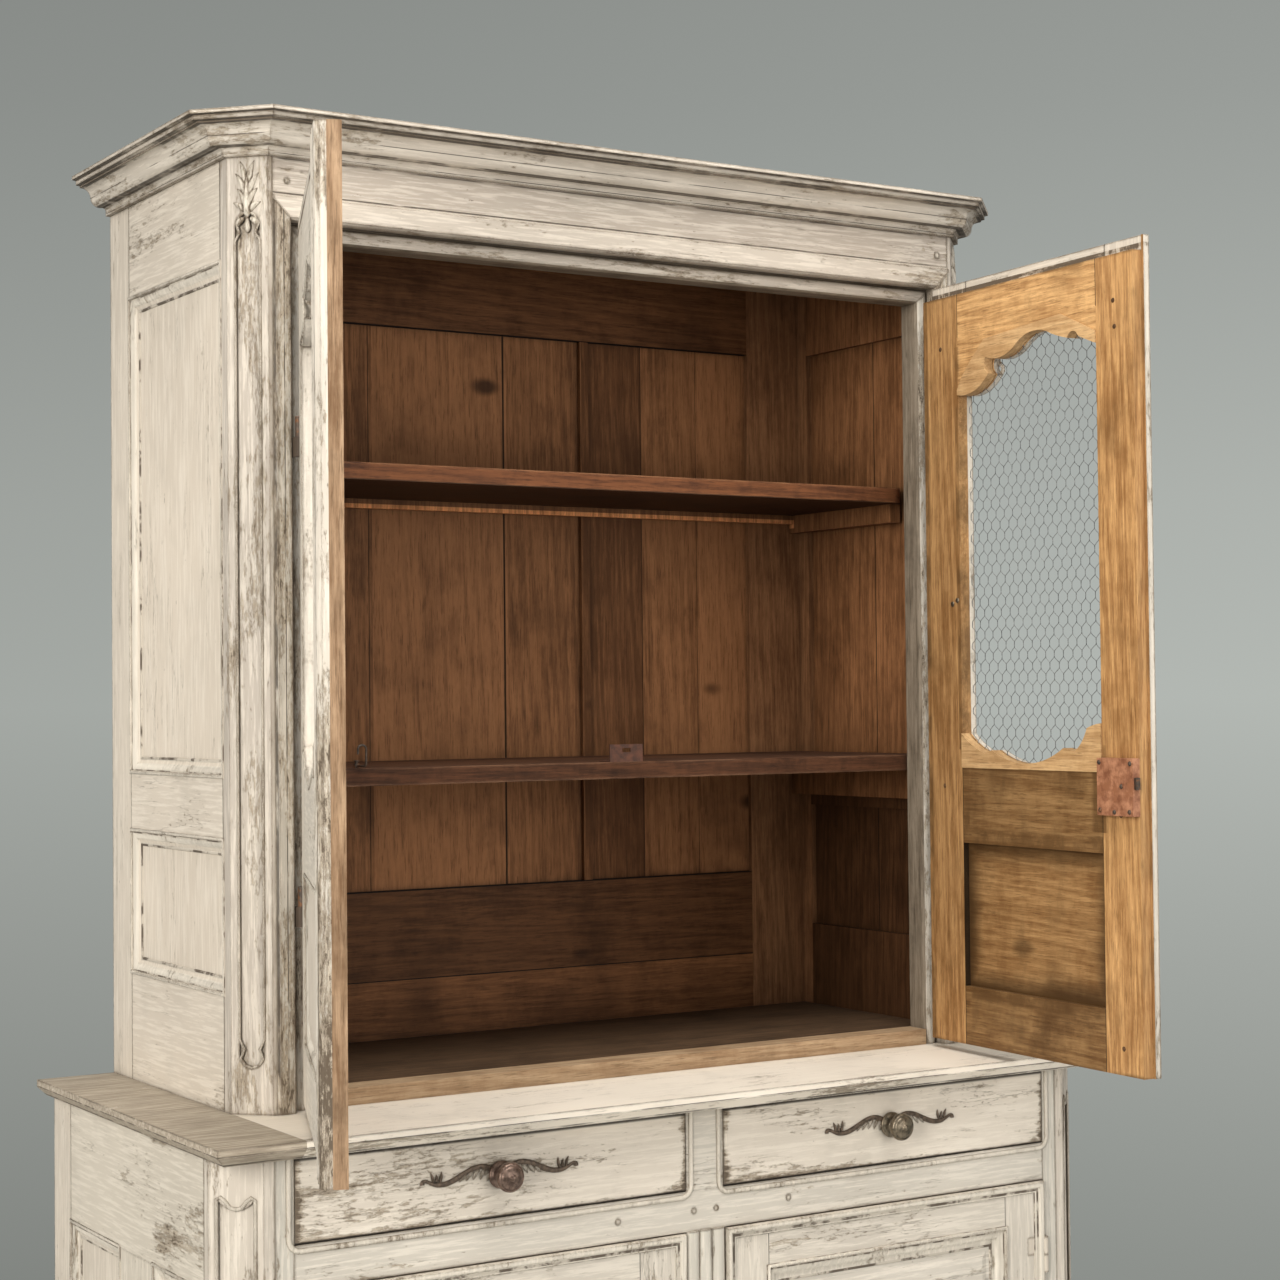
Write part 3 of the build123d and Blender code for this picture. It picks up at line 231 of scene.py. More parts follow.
def ramp_value(tree, value, low, high):
    """A smooth step of a number from 0 at low to 1 at high."""
    return add(
        tree, "MapRange", {0: value, 1: low, 2: high, 3: 0.0, 4: 1.0}, interpolation_type="SMOOTHSTEP"
    ).outputs[0]


def noise(tree, place, scale, detail=4, rough=0.55, distortion=0.0):
    return add(
        tree, "TexNoise",
        {"Vector": place, "Scale": scale, "Detail": detail, "Roughness": rough, "Distortion": distortion},
    ).outputs[0]


def scaled(tree, place, scale):
    return add(tree, "VectorMath", {0: place, 1: scale}, operation="MULTIPLY").outputs[0]


def band(tree, value, centre, width):
    """1 within width of centre, fading to 0."""
    away = calc(tree, "ABSOLUTE", calc(tree, "SUBTRACT", value, centre))
    return calc(tree, "SUBTRACT", 1.0, ramp_value(tree, away, width * 0.5, width))


def between(tree, value, low, high):
    above = calc(tree, "GREATER_THAN", value, low)
    below = calc(tree, "LESS_THAN", value, high)
    return calc(tree, "MULTIPLY", above, below)


def local_place(tree, door=None):
    """The place on the object, or along a door: across from its hinges, inwards, and up."""
    place = tree.nodes.new("ShaderNodeTexCoord").outputs["Object"]
    if door is None:
        return place
    side, turn = (1, RIGHT_OPEN) if door == "right" else (-1, LEFT_OPEN)
    hinge = Vector((side * DOOR_AXIS_X, DOOR_AXIS_Y, BASE))
    across = Vector((-side * cos(turn), -side * sin(turn), 0))
    inwards = Vector((-sin(turn), cos(turn), 0))
    moved = add(tree, "VectorMath", {0: place, 1: hinge}, operation="SUBTRACT").outputs[0]
    parts = [
        add(tree, "VectorMath", {0: moved, 1: axis}, operation="DOT_PRODUCT").outputs["Value"]
        for axis in (across, inwards, Vector((0, 0, 1)))
    ]
    return add(tree, "CombineXYZ", {0: parts[0], 1: parts[1], 2: parts[2]}).outputs[0]


GRAIN = {"v": (1, 1, 0.06), "h": (0.06, 0.06, 1), "x": (0.06, 1, 1), "y": (1, 0.06, 1)}


SHORT_GRAIN = {"v": (1, 1, 0.26), "h": (0.26, 0.26, 1), "x": (0.26, 1, 1), "y": (1, 0.26, 1)}


def grain_place(tree, place, grain, switch=None, table=GRAIN, true_place=None):
    """Coordinates drawn out along the grain; switch gives where a second direction rules, as (axis, low, high, grain)."""
    if switch is None:
        return scaled(tree, place, table[grain])
    axis, low, high, other = switch
    split = add(tree, "SeparateXYZ", {0: place if true_place is None else true_place})
    inside = between(tree, split.outputs[axis], low, high)
    one = scaled(tree, place, table[grain])
    two = scaled(tree, place, table[other])
    node = add(tree, "Mix", {0: inside}, data_type="VECTOR")
    tree.links.new(one, node.inputs[4])
    tree.links.new(two, node.inputs[5])
    return node.outputs[1]


def edge_mask(tree, radius, low=0.02, high=0.22):
    """Edges and corners, found from how a rounded normal leaves the flat one."""
    soft = add(tree, "Bevel", {"Radius": radius}, samples=4).outputs[0]
    true = tree.nodes.new("ShaderNodeNewGeometry").outputs["Normal"]
    match = add(tree, "VectorMath", {0: soft, 1: true}, operation="DOT_PRODUCT").outputs["Value"]
    return ramp_value(tree, calc(tree, "SUBTRACT", 1.0, match), low, high)


def hollow_mask(tree, distance, power=1.5):
    """Darkening in grooves and hollows, found by ambient occlusion."""
    shade = add(tree, "AmbientOcclusion", {"Distance": distance}, samples=4, only_local=False).outputs["AO"]
    return calc(tree, "POWER", calc(tree, "SUBTRACT", 1.0, shade), power, clamp=True)


def bump(tree, shader, height, strength, distance):
    node = add(tree, "Bump", {"Strength": strength, "Distance": distance, "Height": height})
    tree.links.new(node.outputs[0], shader.inputs["Normal"])


def dark_line_mask(tree, place, lines):
    """Thin dark lines, each as (axis, position, half width), with a low and a high end where they stop: joints,
    creases, smudges, and a painted shadow along the drawer tops.

    The ends are heights, or places across for a level joint.
    """
    split = add(tree, "SeparateXYZ", {0: place})
    total = None
    for axis, position, width, *limits in lines:
        line = band(tree, split.outputs[axis], position, width)
        if limits:
            line = calc(tree, "MULTIPLY", line, between(tree, split.outputs[0 if axis == 2 else 2], *limits))
        total = line if total is None else calc(tree, "MAXIMUM", total, line)
    return total


def rim_mask(tree, split, area, reach):
    """One at the border of a rectangle, given as two (axis, low, high), fading to nothing further in or outside."""
    away = None
    for axis, low, high in area:
        value = split.outputs[axis]
        side = calc(tree, "MINIMUM", calc(tree, "SUBTRACT", value, low), calc(tree, "SUBTRACT", high, value))
        away = side if away is None else calc(tree, "MINIMUM", away, side)
    near = calc(tree, "SUBTRACT", 1.0, ramp_value(tree, away, 0.0, reach))
    return calc(tree, "MULTIPLY", near, calc(tree, "GREATER_THAN", away, -0.004))


# Materials
def paint(name, **look):
    material, tree, shader = new_material(name)
    paint_into(tree, shader, **look)
    return material


def paint_into(tree, shader, grain="v", wear=0.5, tone=(0.70, 0.615, 0.505), lines=(), switch=None, door=None, bare=(),
               creases=(), rims=()):
    """Worn cream milk paint over old wood: streaks along the grain, rubbed edges, chips, and grooves darkened with dirt
    and painted shade.
    """
    place = local_place(tree, door)
    along = grain_place(tree, place, grain, switch)
    short = grain_place(tree, place, grain, switch, SHORT_GRAIN)
    broad = noise(tree, place, 3.1, 3, 0.5)
    clumps = noise(tree, short, 15.0, 5, 0.62, 0.5)
    grit = noise(tree, short, 170.0, 9, 0.80)
    fibre = noise(tree, along, 190.0, 7, 0.7)
    edge = edge_mask(tree, 0.006)
    hollow = hollow_mask(tree, 0.016)
    tone = tuple(c * 0.88 for c in tone)
    pale = mix(tree, ramp_value(tree, broad, 0.34, 0.66), tone, tuple(c * 0.89 for c in tone))
    smoky = calc(tree, "MULTIPLY", ramp_value(tree, noise(tree, place, 8.0, 4, 0.6), 0.50, 0.72), 0.50 * wear + 0.12)
    smoked = mix(tree, smoky, pale, (0.47, 0.42, 0.345))
    brushed = mix(tree, calc(tree, "MULTIPLY", ramp_value(tree, fibre, 0.46, 0.60), 0.35), smoked, (0.85, 0.775, 0.66))
    worn = calc(tree, "ADD", calc(tree, "MULTIPLY", grit, 0.52), calc(tree, "MULTIPLY", clumps, 0.44))
    worn = calc(tree, "ADD", worn, calc(tree, "MULTIPLY", broad, 0.16))
    worn = calc(tree, "ADD", worn, calc(tree, "MULTIPLY", edge, 0.20))
    worn = calc(tree, "ADD", worn, calc(tree, "MULTIPLY", hollow, 0.10))
    split = add(tree, "SeparateXYZ", {0: place})
    for area, reach, extra in rims:
        worn = calc(tree, "ADD", worn, calc(tree, "MULTIPLY", rim_mask(tree, split, area, reach), extra))
    start = 0.700 - 0.12 * wear
    chipped = ramp_value(tree, worn, start + 0.060, start + 0.080)
    for axis, low, high, extra in bare:
        worn = calc(tree, "ADD", worn, calc(tree, "MULTIPLY", between(tree, split.outputs[axis], low, high), extra))
    rubbed = ramp_value(tree, worn, start, start + 0.030)
    grey = mix(tree, ramp_value(tree, fibre, 0.38, 0.62), (0.20, 0.155, 0.105), (0.43, 0.36, 0.27))
    colour = mix(tree, calc(tree, "MULTIPLY", rubbed, 0.84), brushed, grey)
    specks = ramp_value(tree, noise(tree, short, 240.0, 4, 0.7), 0.66, 0.70)
    specks = calc(tree, "MULTIPLY", specks, ramp_value(tree, noise(tree, place, 13.0, 3, 0.6), 0.50, 0.62))
    colour = mix(tree, calc(tree, "MULTIPLY", specks, 0.75), colour, (0.11, 0.075, 0.048))
    colour = mix(tree, calc(tree, "MULTIPLY", chipped, 0.90), colour, (0.085, 0.060, 0.038))
    ridge = calc(tree, "ABSOLUTE", calc(tree, "SUBTRACT", noise(tree, along, 52.0, 5, 0.6), 0.5))
    crack = calc(tree, "SUBTRACT", 1.0, ramp_value(tree, ridge, 0.0, 0.0075))
    crack = calc(tree, "MULTIPLY", crack, ramp_value(tree, clumps, 0.47, 0.58))
    colour = mix(tree, calc(tree, "MULTIPLY", crack, 0.55), colour, (0.17, 0.14, 0.105))
    # grooves and hollows darkened: dirt with painted shade
    colour = mix(tree, calc(tree, "MULTIPLY", hollow, 0.88), colour, (0.13, 0.105, 0.078))
    if creases:
        broken = ramp_value(tree, noise(tree, short, 34.0, 4, 0.65), 0.38, 0.52)
        dark = calc(tree, "MULTIPLY", dark_line_mask(tree, place, creases), broken)
        colour = mix(tree, calc(tree, "MULTIPLY", dark, 0.85), colour, (0.055, 0.043, 0.032))
    # dark joints, and the painted shadow line along the drawer tops
    if lines:
        dark = dark_line_mask(tree, place, lines)
        colour = mix(tree, calc(tree, "MULTIPLY", dark, 0.92), colour, (0.03, 0.024, 0.018))
    tree.links.new(colour, shader.inputs["Base Color"])
    tree.links.new(calc(tree, "MULTIPLY_ADD", rubbed, 0.14, 0.66), shader.inputs["Roughness"])
    shader.inputs["Specular IOR Level"].default_value = 0.3
    relief = calc(tree, "MULTIPLY_ADD", rubbed, -0.55, calc(tree, "MULTIPLY", fibre, 0.5))
    relief = calc(tree, "ADD", relief, calc(tree, "MULTIPLY", crack, -0.5))
    bump(tree, shader, relief, 0.6, 0.0012)


def cracked_paint(name):
    """Paint lost along a groove, so that most of it is dark."""
    material, tree, shader = new_material(name)
    place = tree.nodes.new("ShaderNodeTexCoord").outputs["Object"]
    broken = ramp_value(tree, noise(tree, place, 26.0, 6, 0.7), 0.46, 0.56)
    colour = mix(tree, broken, (0.50, 0.445, 0.365), (0.110, 0.085, 0.062))
    tree.links.new(colour, shader.inputs["Base Color"])
    shader.inputs["Roughness"].default_value = 0.8
    return material


def wood(name, **look):
    material, tree, shader = new_material(name)
    wood_into(tree, shader, **look)
    return material


def painted_outside(name, outside, inside, ranges, door=None):
    """Paint on one side of a board and bare wood on the other, where the place is within (axis, low, high) ranges."""
    material, tree, shader = new_material(name)
    paint_into(tree, shader, **outside)
    bare = tree.nodes.new("ShaderNodeBsdfPrincipled")
    wood_into(tree, bare, **inside)
    split = add(tree, "SeparateXYZ", {0: local_place(tree, door)})
    bare_here = None
    for axis, low, high in ranges:
        here = between(tree, split.outputs[axis], low, high)
        bare_here = here if bare_here is None else calc(tree, "MULTIPLY", bare_here, here)
    both = add(tree, "MixShader", {0: bare_here, 1: shader.outputs[0], 2: bare.outputs[0]})
    output = next(n for n in tree.nodes if n.type == "OUTPUT_MATERIAL")
    tree.links.new(both.outputs[0], output.inputs[0])
    return material


def wood_into(tree, shader, grain="v", dark=(0.06, 0.028, 0.014), light=(0.20, 0.095, 0.045), lines=(), switch=None,
              door=None, boards=None, dirt=0.7, knots=0.5, shine=0.62, edge_tone=None, stains=0.5, zones=(),
              dark_border=None, reach=0.02, grime=0.35, smudges=(), deep_painted_shade=0.0):
    """Bare oak: bands and fibres along the grain, pores, knots, stains and dark joints, with dirt and painted shade in
    hollows and painted shade deep in the case.
    """
    place = local_place(tree, door)
    if boards:
        axis, starts, low, high = boards
        split = add(tree, "SeparateXYZ", {0: place})
        level = calc(tree, "MULTIPLY_ADD", split.outputs[axis], 0.5, 0.5)
        tones = [(0.0, (0.5, 0.3, 0.1))]
        for i, start in enumerate(starts):
            shade = (0.5 + 0.45 * sin(5.1 * i + 1.3), 0.5 + 0.5 * sin(2.3 * i), 0.5 + 0.5 * cos(3.7 * i))
            tones.append((start * 0.5 + 0.5, shade))
        seed = ramp(tree, level, tones, "CONSTANT")
        seed = mix(tree, between(tree, split.outputs[2], low, high), (0.5, 0.3, 0.1), seed)
        shift = scaled(tree, seed, (7.0, 5.0, 3.0))
        place_seed = add(tree, "VectorMath", {0: place, 1: shift}, operation="ADD").outputs[0]
    else:
        seed = None
        place_seed = place
    along = grain_place(tree, place_seed, grain, switch, true_place=place)
    wobble = noise(tree, along, 9.0, 3, 0.5)
    rings = add(
        tree, "TexWave", {"Vector": along, "Scale": 30.0, "Distortion": 11.0, "Detail": 4.0, "Detail Scale": 1.4},
        wave_type="BANDS", bands_direction="DIAGONAL",
    ).outputs[1]
    fibre = noise(tree, along, 300.0, 6, 0.72)
    pores = noise(tree, along, 520.0, 3, 0.6)
    blotch = noise(tree, place_seed, 6.0, 5, 0.6)
    tone = calc(tree, "ADD", calc(tree, "MULTIPLY", rings, 0.07), calc(tree, "MULTIPLY", fibre, 0.40))
    tone = calc(tree, "ADD", tone, calc(tree, "MULTIPLY", wobble, 0.16))
    mottle = noise(tree, scaled(tree, place_seed, (1, 1, 0.6)), 16.0, 6, 0.68)
    tone = calc(tree, "ADD", tone, calc(tree, "MULTIPLY", mottle, 0.37))
    if seed is not None:
        own = add(tree, "SeparateColor", {0: seed}).outputs[0]
        tone = calc(tree, "ADD", tone, calc(tree, "MULTIPLY_ADD", own, 0.26, -0.13))
    colour = mix(tree, ramp_value(tree, tone, 0.34, 0.70), dark, light)
    colour = mix(tree, calc(tree, "MULTIPLY", ramp_value(tree, pores, 0.56, 0.66), 0.45), colour, tuple(c * 0.45 for c in dark))
    grimy = calc(tree, "MULTIPLY", ramp_value(tree, mottle, 0.50, 0.70), grime)
    colour = mix(tree, grimy, colour, tuple(c * 0.62 for c in dark))
    stain = ramp_value(tree, blotch, 0.50, 0.74)
    colour = mix(tree, calc(tree, "MULTIPLY", stain, stains), colour, tuple(c * 0.55 for c in dark))
    spread = scaled(tree, place_seed, {"v": (1, 1, 0.55), "h": (0.55, 0.55, 1), "x": (0.55, 1, 1), "y": (1, 0.55, 1)}[grain])
    spots = add(tree, "TexVoronoi", {"Vector": spread, "Scale": 5.2, "Randomness": 1.0}, feature="F1").outputs[0]
    spot = calc(tree, "SUBTRACT", 1.0, ramp_value(tree, calc(tree, "MULTIPLY_ADD", wobble, 0.06, spots), 0.055, 0.12))
    colour = mix(tree, calc(tree, "MULTIPLY", spot, knots), colour, tuple(c * 0.28 for c in dark))
    if edge_tone is not None:
        edge = calc(tree, "MULTIPLY", edge_mask(tree, 0.006), ramp_value(tree, fibre, 0.35, 0.6))
        colour = mix(tree, edge, colour, edge_tone)
    split = add(tree, "SeparateXYZ", {0: place})
    # colour scaled within boxes: painted shade and a painted highlight inside the case, darker wood on parts of the
    # doors
    for ranges, share in zones:
        here = None
        for axis, low, high in ranges:
            part = between(tree, split.outputs[axis], low, high)
            here = part if here is None else calc(tree, "MULTIPLY", here, part)
        shaded = scaled(tree, colour, (share, share * 0.96, share * 0.92))
        colour = mix(tree, here, colour, (0, 0, 0))
        node = colour.node
        tree.links.new(shaded, node.inputs[7])
    # the panel grows darker towards its border, with a blotchy edge
    if dark_border is not None:
        (s0, s1, z0, z1), depth = dark_border
        away = calc(tree, "MINIMUM", calc(tree, "SUBTRACT", split.outputs[0], s0), calc(tree, "SUBTRACT", s1, split.outputs[0]))
        up_down = calc(tree, "MINIMUM", calc(tree, "SUBTRACT", split.outputs[2], z0), calc(tree, "SUBTRACT", z1, split.outputs[2]))
        away = calc(tree, "MINIMUM", away, up_down)
        away = calc(tree, "MULTIPLY_ADD", blotch, -depth, away)
        border_darkening = calc(tree, "SUBTRACT", 1.0, ramp_value(tree, away, -depth * 0.55, depth * 0.45))
        colour = mix(tree, calc(tree, "MULTIPLY", border_darkening, 0.88), colour, tuple(c * 0.16 for c in dark))
    if smudges:
        smear = calc(tree, "MULTIPLY", dark_line_mask(tree, place, smudges), ramp_value(tree, mottle, 0.36, 0.58))
        colour = mix(tree, calc(tree, "MULTIPLY", smear, 0.72), colour, tuple(c * 0.30 for c in dark))
    # painted shade deep inside the case: a wide ambient occlusion darkens the enclosed boards
    if deep_painted_shade:
        deep_shade_mask = hollow_mask(tree, 0.16, 1.1)
        colour = mix(tree, calc(tree, "MULTIPLY", deep_shade_mask, deep_painted_shade), colour, tuple(c * 0.30 for c in dark))
    # grooves and corners darkened by ambient occlusion: dirt with painted shade
    hollow = hollow_mask(tree, reach)
    colour = mix(tree, calc(tree, "MULTIPLY", hollow, dirt), colour, tuple(c * 0.22 for c in dark))
    if lines:
        seam = dark_line_mask(tree, place, lines)
        colour = mix(tree, calc(tree, "MULTIPLY", seam, 0.93), colour, (0.008, 0.005, 0.003))
    tree.links.new(colour, shader.inputs["Base Color"])
    tree.links.new(calc(tree, "MULTIPLY_ADD", fibre, 0.22, shine - 0.1), shader.inputs["Roughness"])
    shader.inputs["Specular IOR Level"].default_value = 0.18
    relief = calc(tree, "ADD", calc(tree, "MULTIPLY", fibre, 0.6), calc(tree, "MULTIPLY", pores, 0.4))
    bump(tree, shader, relief, 0.45, 0.0012)


def metal(name, low, high, metallic, rough, scale=120.0, spots=None, relief=0.3):
    """Old metal with mottled colour, pits and, where it rusts, orange patches."""
    material, tree, shader = new_material(name)
    place = tree.nodes.new("ShaderNodeTexCoord").outputs["Object"]
    mottle = noise(tree, place, scale, 6, 0.65)
    pits = noise(tree, place, scale * 5, 4, 0.6)
    colour = mix(tree, ramp_value(tree, mottle, 0.32, 0.68), low, high)
    if spots is not None:
        colour = mix(tree, ramp_value(tree, noise(tree, place, scale * 0.6, 5, 0.7), 0.52, 0.62), colour, spots)
    hollow = hollow_mask(tree, 0.006)
    colour = mix(tree, calc(tree, "MULTIPLY", hollow, 0.8), colour, tuple(c * 0.25 for c in low))
    tree.links.new(colour, shader.inputs["Base Color"])
    shader.inputs["Metallic"].default_value = metallic
    tree.links.new(calc(tree, "MULTIPLY_ADD", mottle, 0.3, rough - 0.15), shader.inputs["Roughness"])
    bump(tree, shader, calc(tree, "ADD", mottle, calc(tree, "MULTIPLY", pits, 0.5)), relief, 0.0006)
    return material


def dress(material, *names):
    for name in names:
        slots = NODES[name].data.materials
        slots.clear()
        slots.append(material)


# Mesh helpers
def mesh_object(name, points, faces, body=None, material=None, smooth=True, sharp=35, cracked=None):
    mesh = bpy.data.meshes.new(name)
    mesh.from_pydata([tuple(p) for p in points], [], faces)
    mesh.validate()
    obj = bpy.data.objects.new(name, mesh)
    bpy.context.scene.collection.objects.link(obj)
    if smooth:
        mesh.shade_smooth()
        mesh.set_sharp_from_angle(angle=radians(sharp))
    if material is not None:
        mesh.materials.append(material)
    if cracked is not None:
        mesh.materials.append(cracked[0])
        for index in cracked[1]:
            mesh.polygons[index].material_index = 1
    if body is not None:
        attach(obj, body)
    return obj


# Bare oak for the inside of the case, with painted shade where it is deeply enclosed.
OAK_DARK = {"dark": (0.130, 0.054, 0.020), "light": (0.47, 0.215, 0.090), "deep_painted_shade": 0.62}


def dress_case():
    joint = 0.0011
    # inside of the upper sides: painted shade below the middle shelf, up to z 1.39
    oak_shaded_below = {**OAK_DARK, "zones": [([(2, 0.9, 1.39)], 0.30)]}
    post_y = U_FRONT + 0.0404
    dress(
        painted_outside(
            "upper_side_faces",
            {"wear": 0.50, "lines": [(1, post_y + 0.023, joint), (1, 0.234, joint * 0.7)],
             "switch": (1, post_y + 0.023, 0.234, "h")},
            oak_shaded_below, [(0, -0.594, 0.594)],
        ),
        "upper_side_rails",
    )
    dress(
        painted_outside("upper_panel_faces", {"wear": 0.34, "tone": (0.735, 0.64, 0.52)},
                          {**oak_shaded_below, "lines": [(1, 0.062, 0.0013)]}, [(0, -0.594, 0.594)]),
        "upper_side_panels",
    )
    rear = {"dark": (0.16, 0.070, 0.029), "light": (0.52, 0.255, 0.115), "deep_painted_shade": 0.5}
    dress(painted_outside("upper_rear_faces", {"wear": 0.5}, rear, [(0, -0.594, 0.594)]), "upper_rear_posts")
    dress(painted_outside("lower_rear_faces", {"wear": 0.6}, OAK_DARK, [(0, -0.680, 0.680)]), "lower_rear_posts")
    dress(painted_outside("lower_panel_faces", {"wear": 0.38}, OAK_DARK, [(0, -0.6825, 0.6825)]), "lower_side_panels")
    dress(
        painted_outside(
            "lower_side_faces",
            {"grain": "h", "wear": 0.62, "tone": (0.68, 0.61, 0.50), "switch": (2, 0.180, 0.790, "v")},
            OAK_DARK, [(0, -0.680, 0.680)],
        ),
        "lower_side_rails",
    )
    inner_jamb = {"dark": (0.10, 0.075, 0.05), "light": (0.33, 0.27, 0.20), "stains": 0.7}
    dress(
        painted_outside("post_faces", {"wear": 0.72, "tone": (0.53, 0.465, 0.39)}, inner_jamb,
                        [(1, -0.125, 0.3), (0, -0.594, 0.594)]),
        "upper_front_posts",
    )
    dress(paint("paint_post", wear=0.74, tone=(0.65, 0.575, 0.48)), "lower_front_posts")
    dress(
        painted_outside(
            "stile_faces",
            {"wear": 1.22, "tone": (0.56, 0.51, 0.43), "creases": [(0, -0.559, 0.0016), (0, 0.559, 0.0016), (0, -0.5465, 0.0010)]},
            inner_jamb, [(1, -0.150, 0.3)],
        ),
        "upper_front_stiles",
    )
    dress(
        painted_outside(
            "head_faces", {"grain": "h", "wear": 0.74, "tone": (0.60, 0.525, 0.435)}, {**inner_jamb, "grain": "x"},
            [(1, -0.150, 0.3)],
        ),
        "upper_head_moulding",
    )
    dress(paint("paint_stile", wear=0.68, tone=(0.62, 0.575, 0.49)), "lower_front_stiles")
    # The frieze's paint is mixed darker than the rest of the cream paint: painted shade.
    dress(paint("paint_frieze", grain="h", wear=0.55, tone=(0.50, 0.43, 0.355), creases=[(2, 2.1705, 0.0012), (2, 2.2155, 0.0012)]), "frieze_board")
    dress(paint("paint_cornice", grain="h", wear=0.86, tone=(0.64, 0.57, 0.475),
                creases=[(2, z, 0.0008) for z in (2.2205, 2.2290, 2.2408, 2.2545, 2.2573, 2.2642)]), "cornice")
    # The top board's paint is mixed far brighter than the rest: painted light on its upward face.
    dress(
        paint("paint_top_board", grain="x", wear=0.42, tone=(0.96, 0.86, 0.72),
              bare=[(0, -0.73, -0.605, 0.22), (2, 0.9, 0.9715, 0.07)], creases=[(2, 0.9712, 0.0008), (2, 0.9590, 0.0016)]),
        "lower_top_board",
    )
    dress(paint("paint_rail", grain="h", wear=0.52, tone=(0.65, 0.595, 0.505)), "drawer_rails", "apron_and_brackets")
    dress(paint("paint_peg", wear=0.9, tone=(0.50, 0.45, 0.37)), "joint_pegs")


def dress_fronts():
    # The dark band along the drawer tops is a painted shadow under the top board's edge.
    dress(paint("paint_drawer", grain="h", wear=0.72, tone=(0.77, 0.685, 0.57), lines=[(2, 0.9525, 0.0066)],
                rims=[(((0, side - 0.286, side + 0.286), (2, 0.843, 0.962)), 0.017, 0.112) for side in (-0.316, 0.316)],
                creases=[(2, 0.8475, 0.0016)]), "left_drawer_front", "right_drawer_front")
    for side in (-1, 1):
        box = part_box("lower_left_door_frame" if side < 0 else "lower_right_door_frame")
        low, high = box[0].x + LOWER_STILE, box[1].x - LOWER_STILE
        name = "lower_left_door" if side < 0 else "lower_right_door"
        dress(
            paint(name + "_paint", wear=0.55, tone=(0.66, 0.595, 0.50), switch=(0, low, high, "h"),
                  rims=[(((0, box[0].x, box[1].x), (2, box[0].z, box[1].z)), 0.018, 0.10)],
                  lines=[(0, low, 0.0008), (0, high, 0.0008)]),
            name + "_frame",
        )
    dress(paint("paint_lower_field", grain="h", wear=0.42, tone=(0.67, 0.61, 0.52)), "lower_left_door_panel",
          "lower_right_door_panel")


def dress_inside():
    low, high = 1.222, 2.083
    seams = [(-0.217, 0.0008), (0.0175, 0.0022), (0.272, 0.0007), (0.379, 0.0006)]
    lines = [(0, x, width, low, high) for x, width in seams] + [(2, 1.087, 0.0012), (2, low, 0.0014), (2, high, 0.0012)]
    # The back boards: painted shade darkens the bands below the boards, at the foot, and above the boards.
    dress(
        wood("oak_back", grain="x", switch=(2, low, high, "v"), boards=(0, [-0.217, 0.0175, 0.154, 0.169, 0.272, 0.379], low, high),
             lines=lines, knots=0.85, reach=0.012, zones=[([(2, 1.087, low)], 0.50), ([(2, 0.9, 1.087)], 0.85),
                                                           ([(2, high, 2.3)], 0.66)], **OAK_DARK),
        "upper_back_boards",
    )
    # A thin strip along the shelf batten's lower edge is brightened four times: fresh wood with a painted highlight.
    dress(wood("oak_case", zones=[([(1, 0.246, 0.259), (2, 1.795, 1.8085)], 4.0)], **OAK_DARK), "shelf_cleats", "lower_back_boards")
    dress(
        wood("oak_floor", grain="x", dark=(0.05, 0.03, 0.017), light=(0.15, 0.088, 0.048)),
        "upper_floor_board", "roof_boards", "lower_floor_board", "lower_shelf", "drawer_runners",
    )
    # The upper shelf: painted shade on its underside and lower edges.
    dress(
        wood("oak_shelf", grain="x", dark=(0.060, 0.024, 0.012), light=(0.27, 0.100, 0.038),
             edge_tone=(0.34, 0.165, 0.078), shine=0.6, zones=[([(2, 1.80, 1.8175)], 0.28)]),
        "upper_shelf",
    )
    dress(
        wood("oak_worn_shelf", grain="x", dark=(0.028, 0.012, 0.006), light=(0.125, 0.050, 0.022),
             edge_tone=(0.19, 0.105, 0.060), shine=0.75, grime=0.6),
        "middle_shelf",
    )
    dress(
        wood("oak_raw", grain="x", dark=(0.27, 0.165, 0.088), light=(0.56, 0.405, 0.250), dirt=0.5, knots=0.2, stains=0.35),
        "sill_rail", "left_drawer_box", "right_drawer_box",
    )


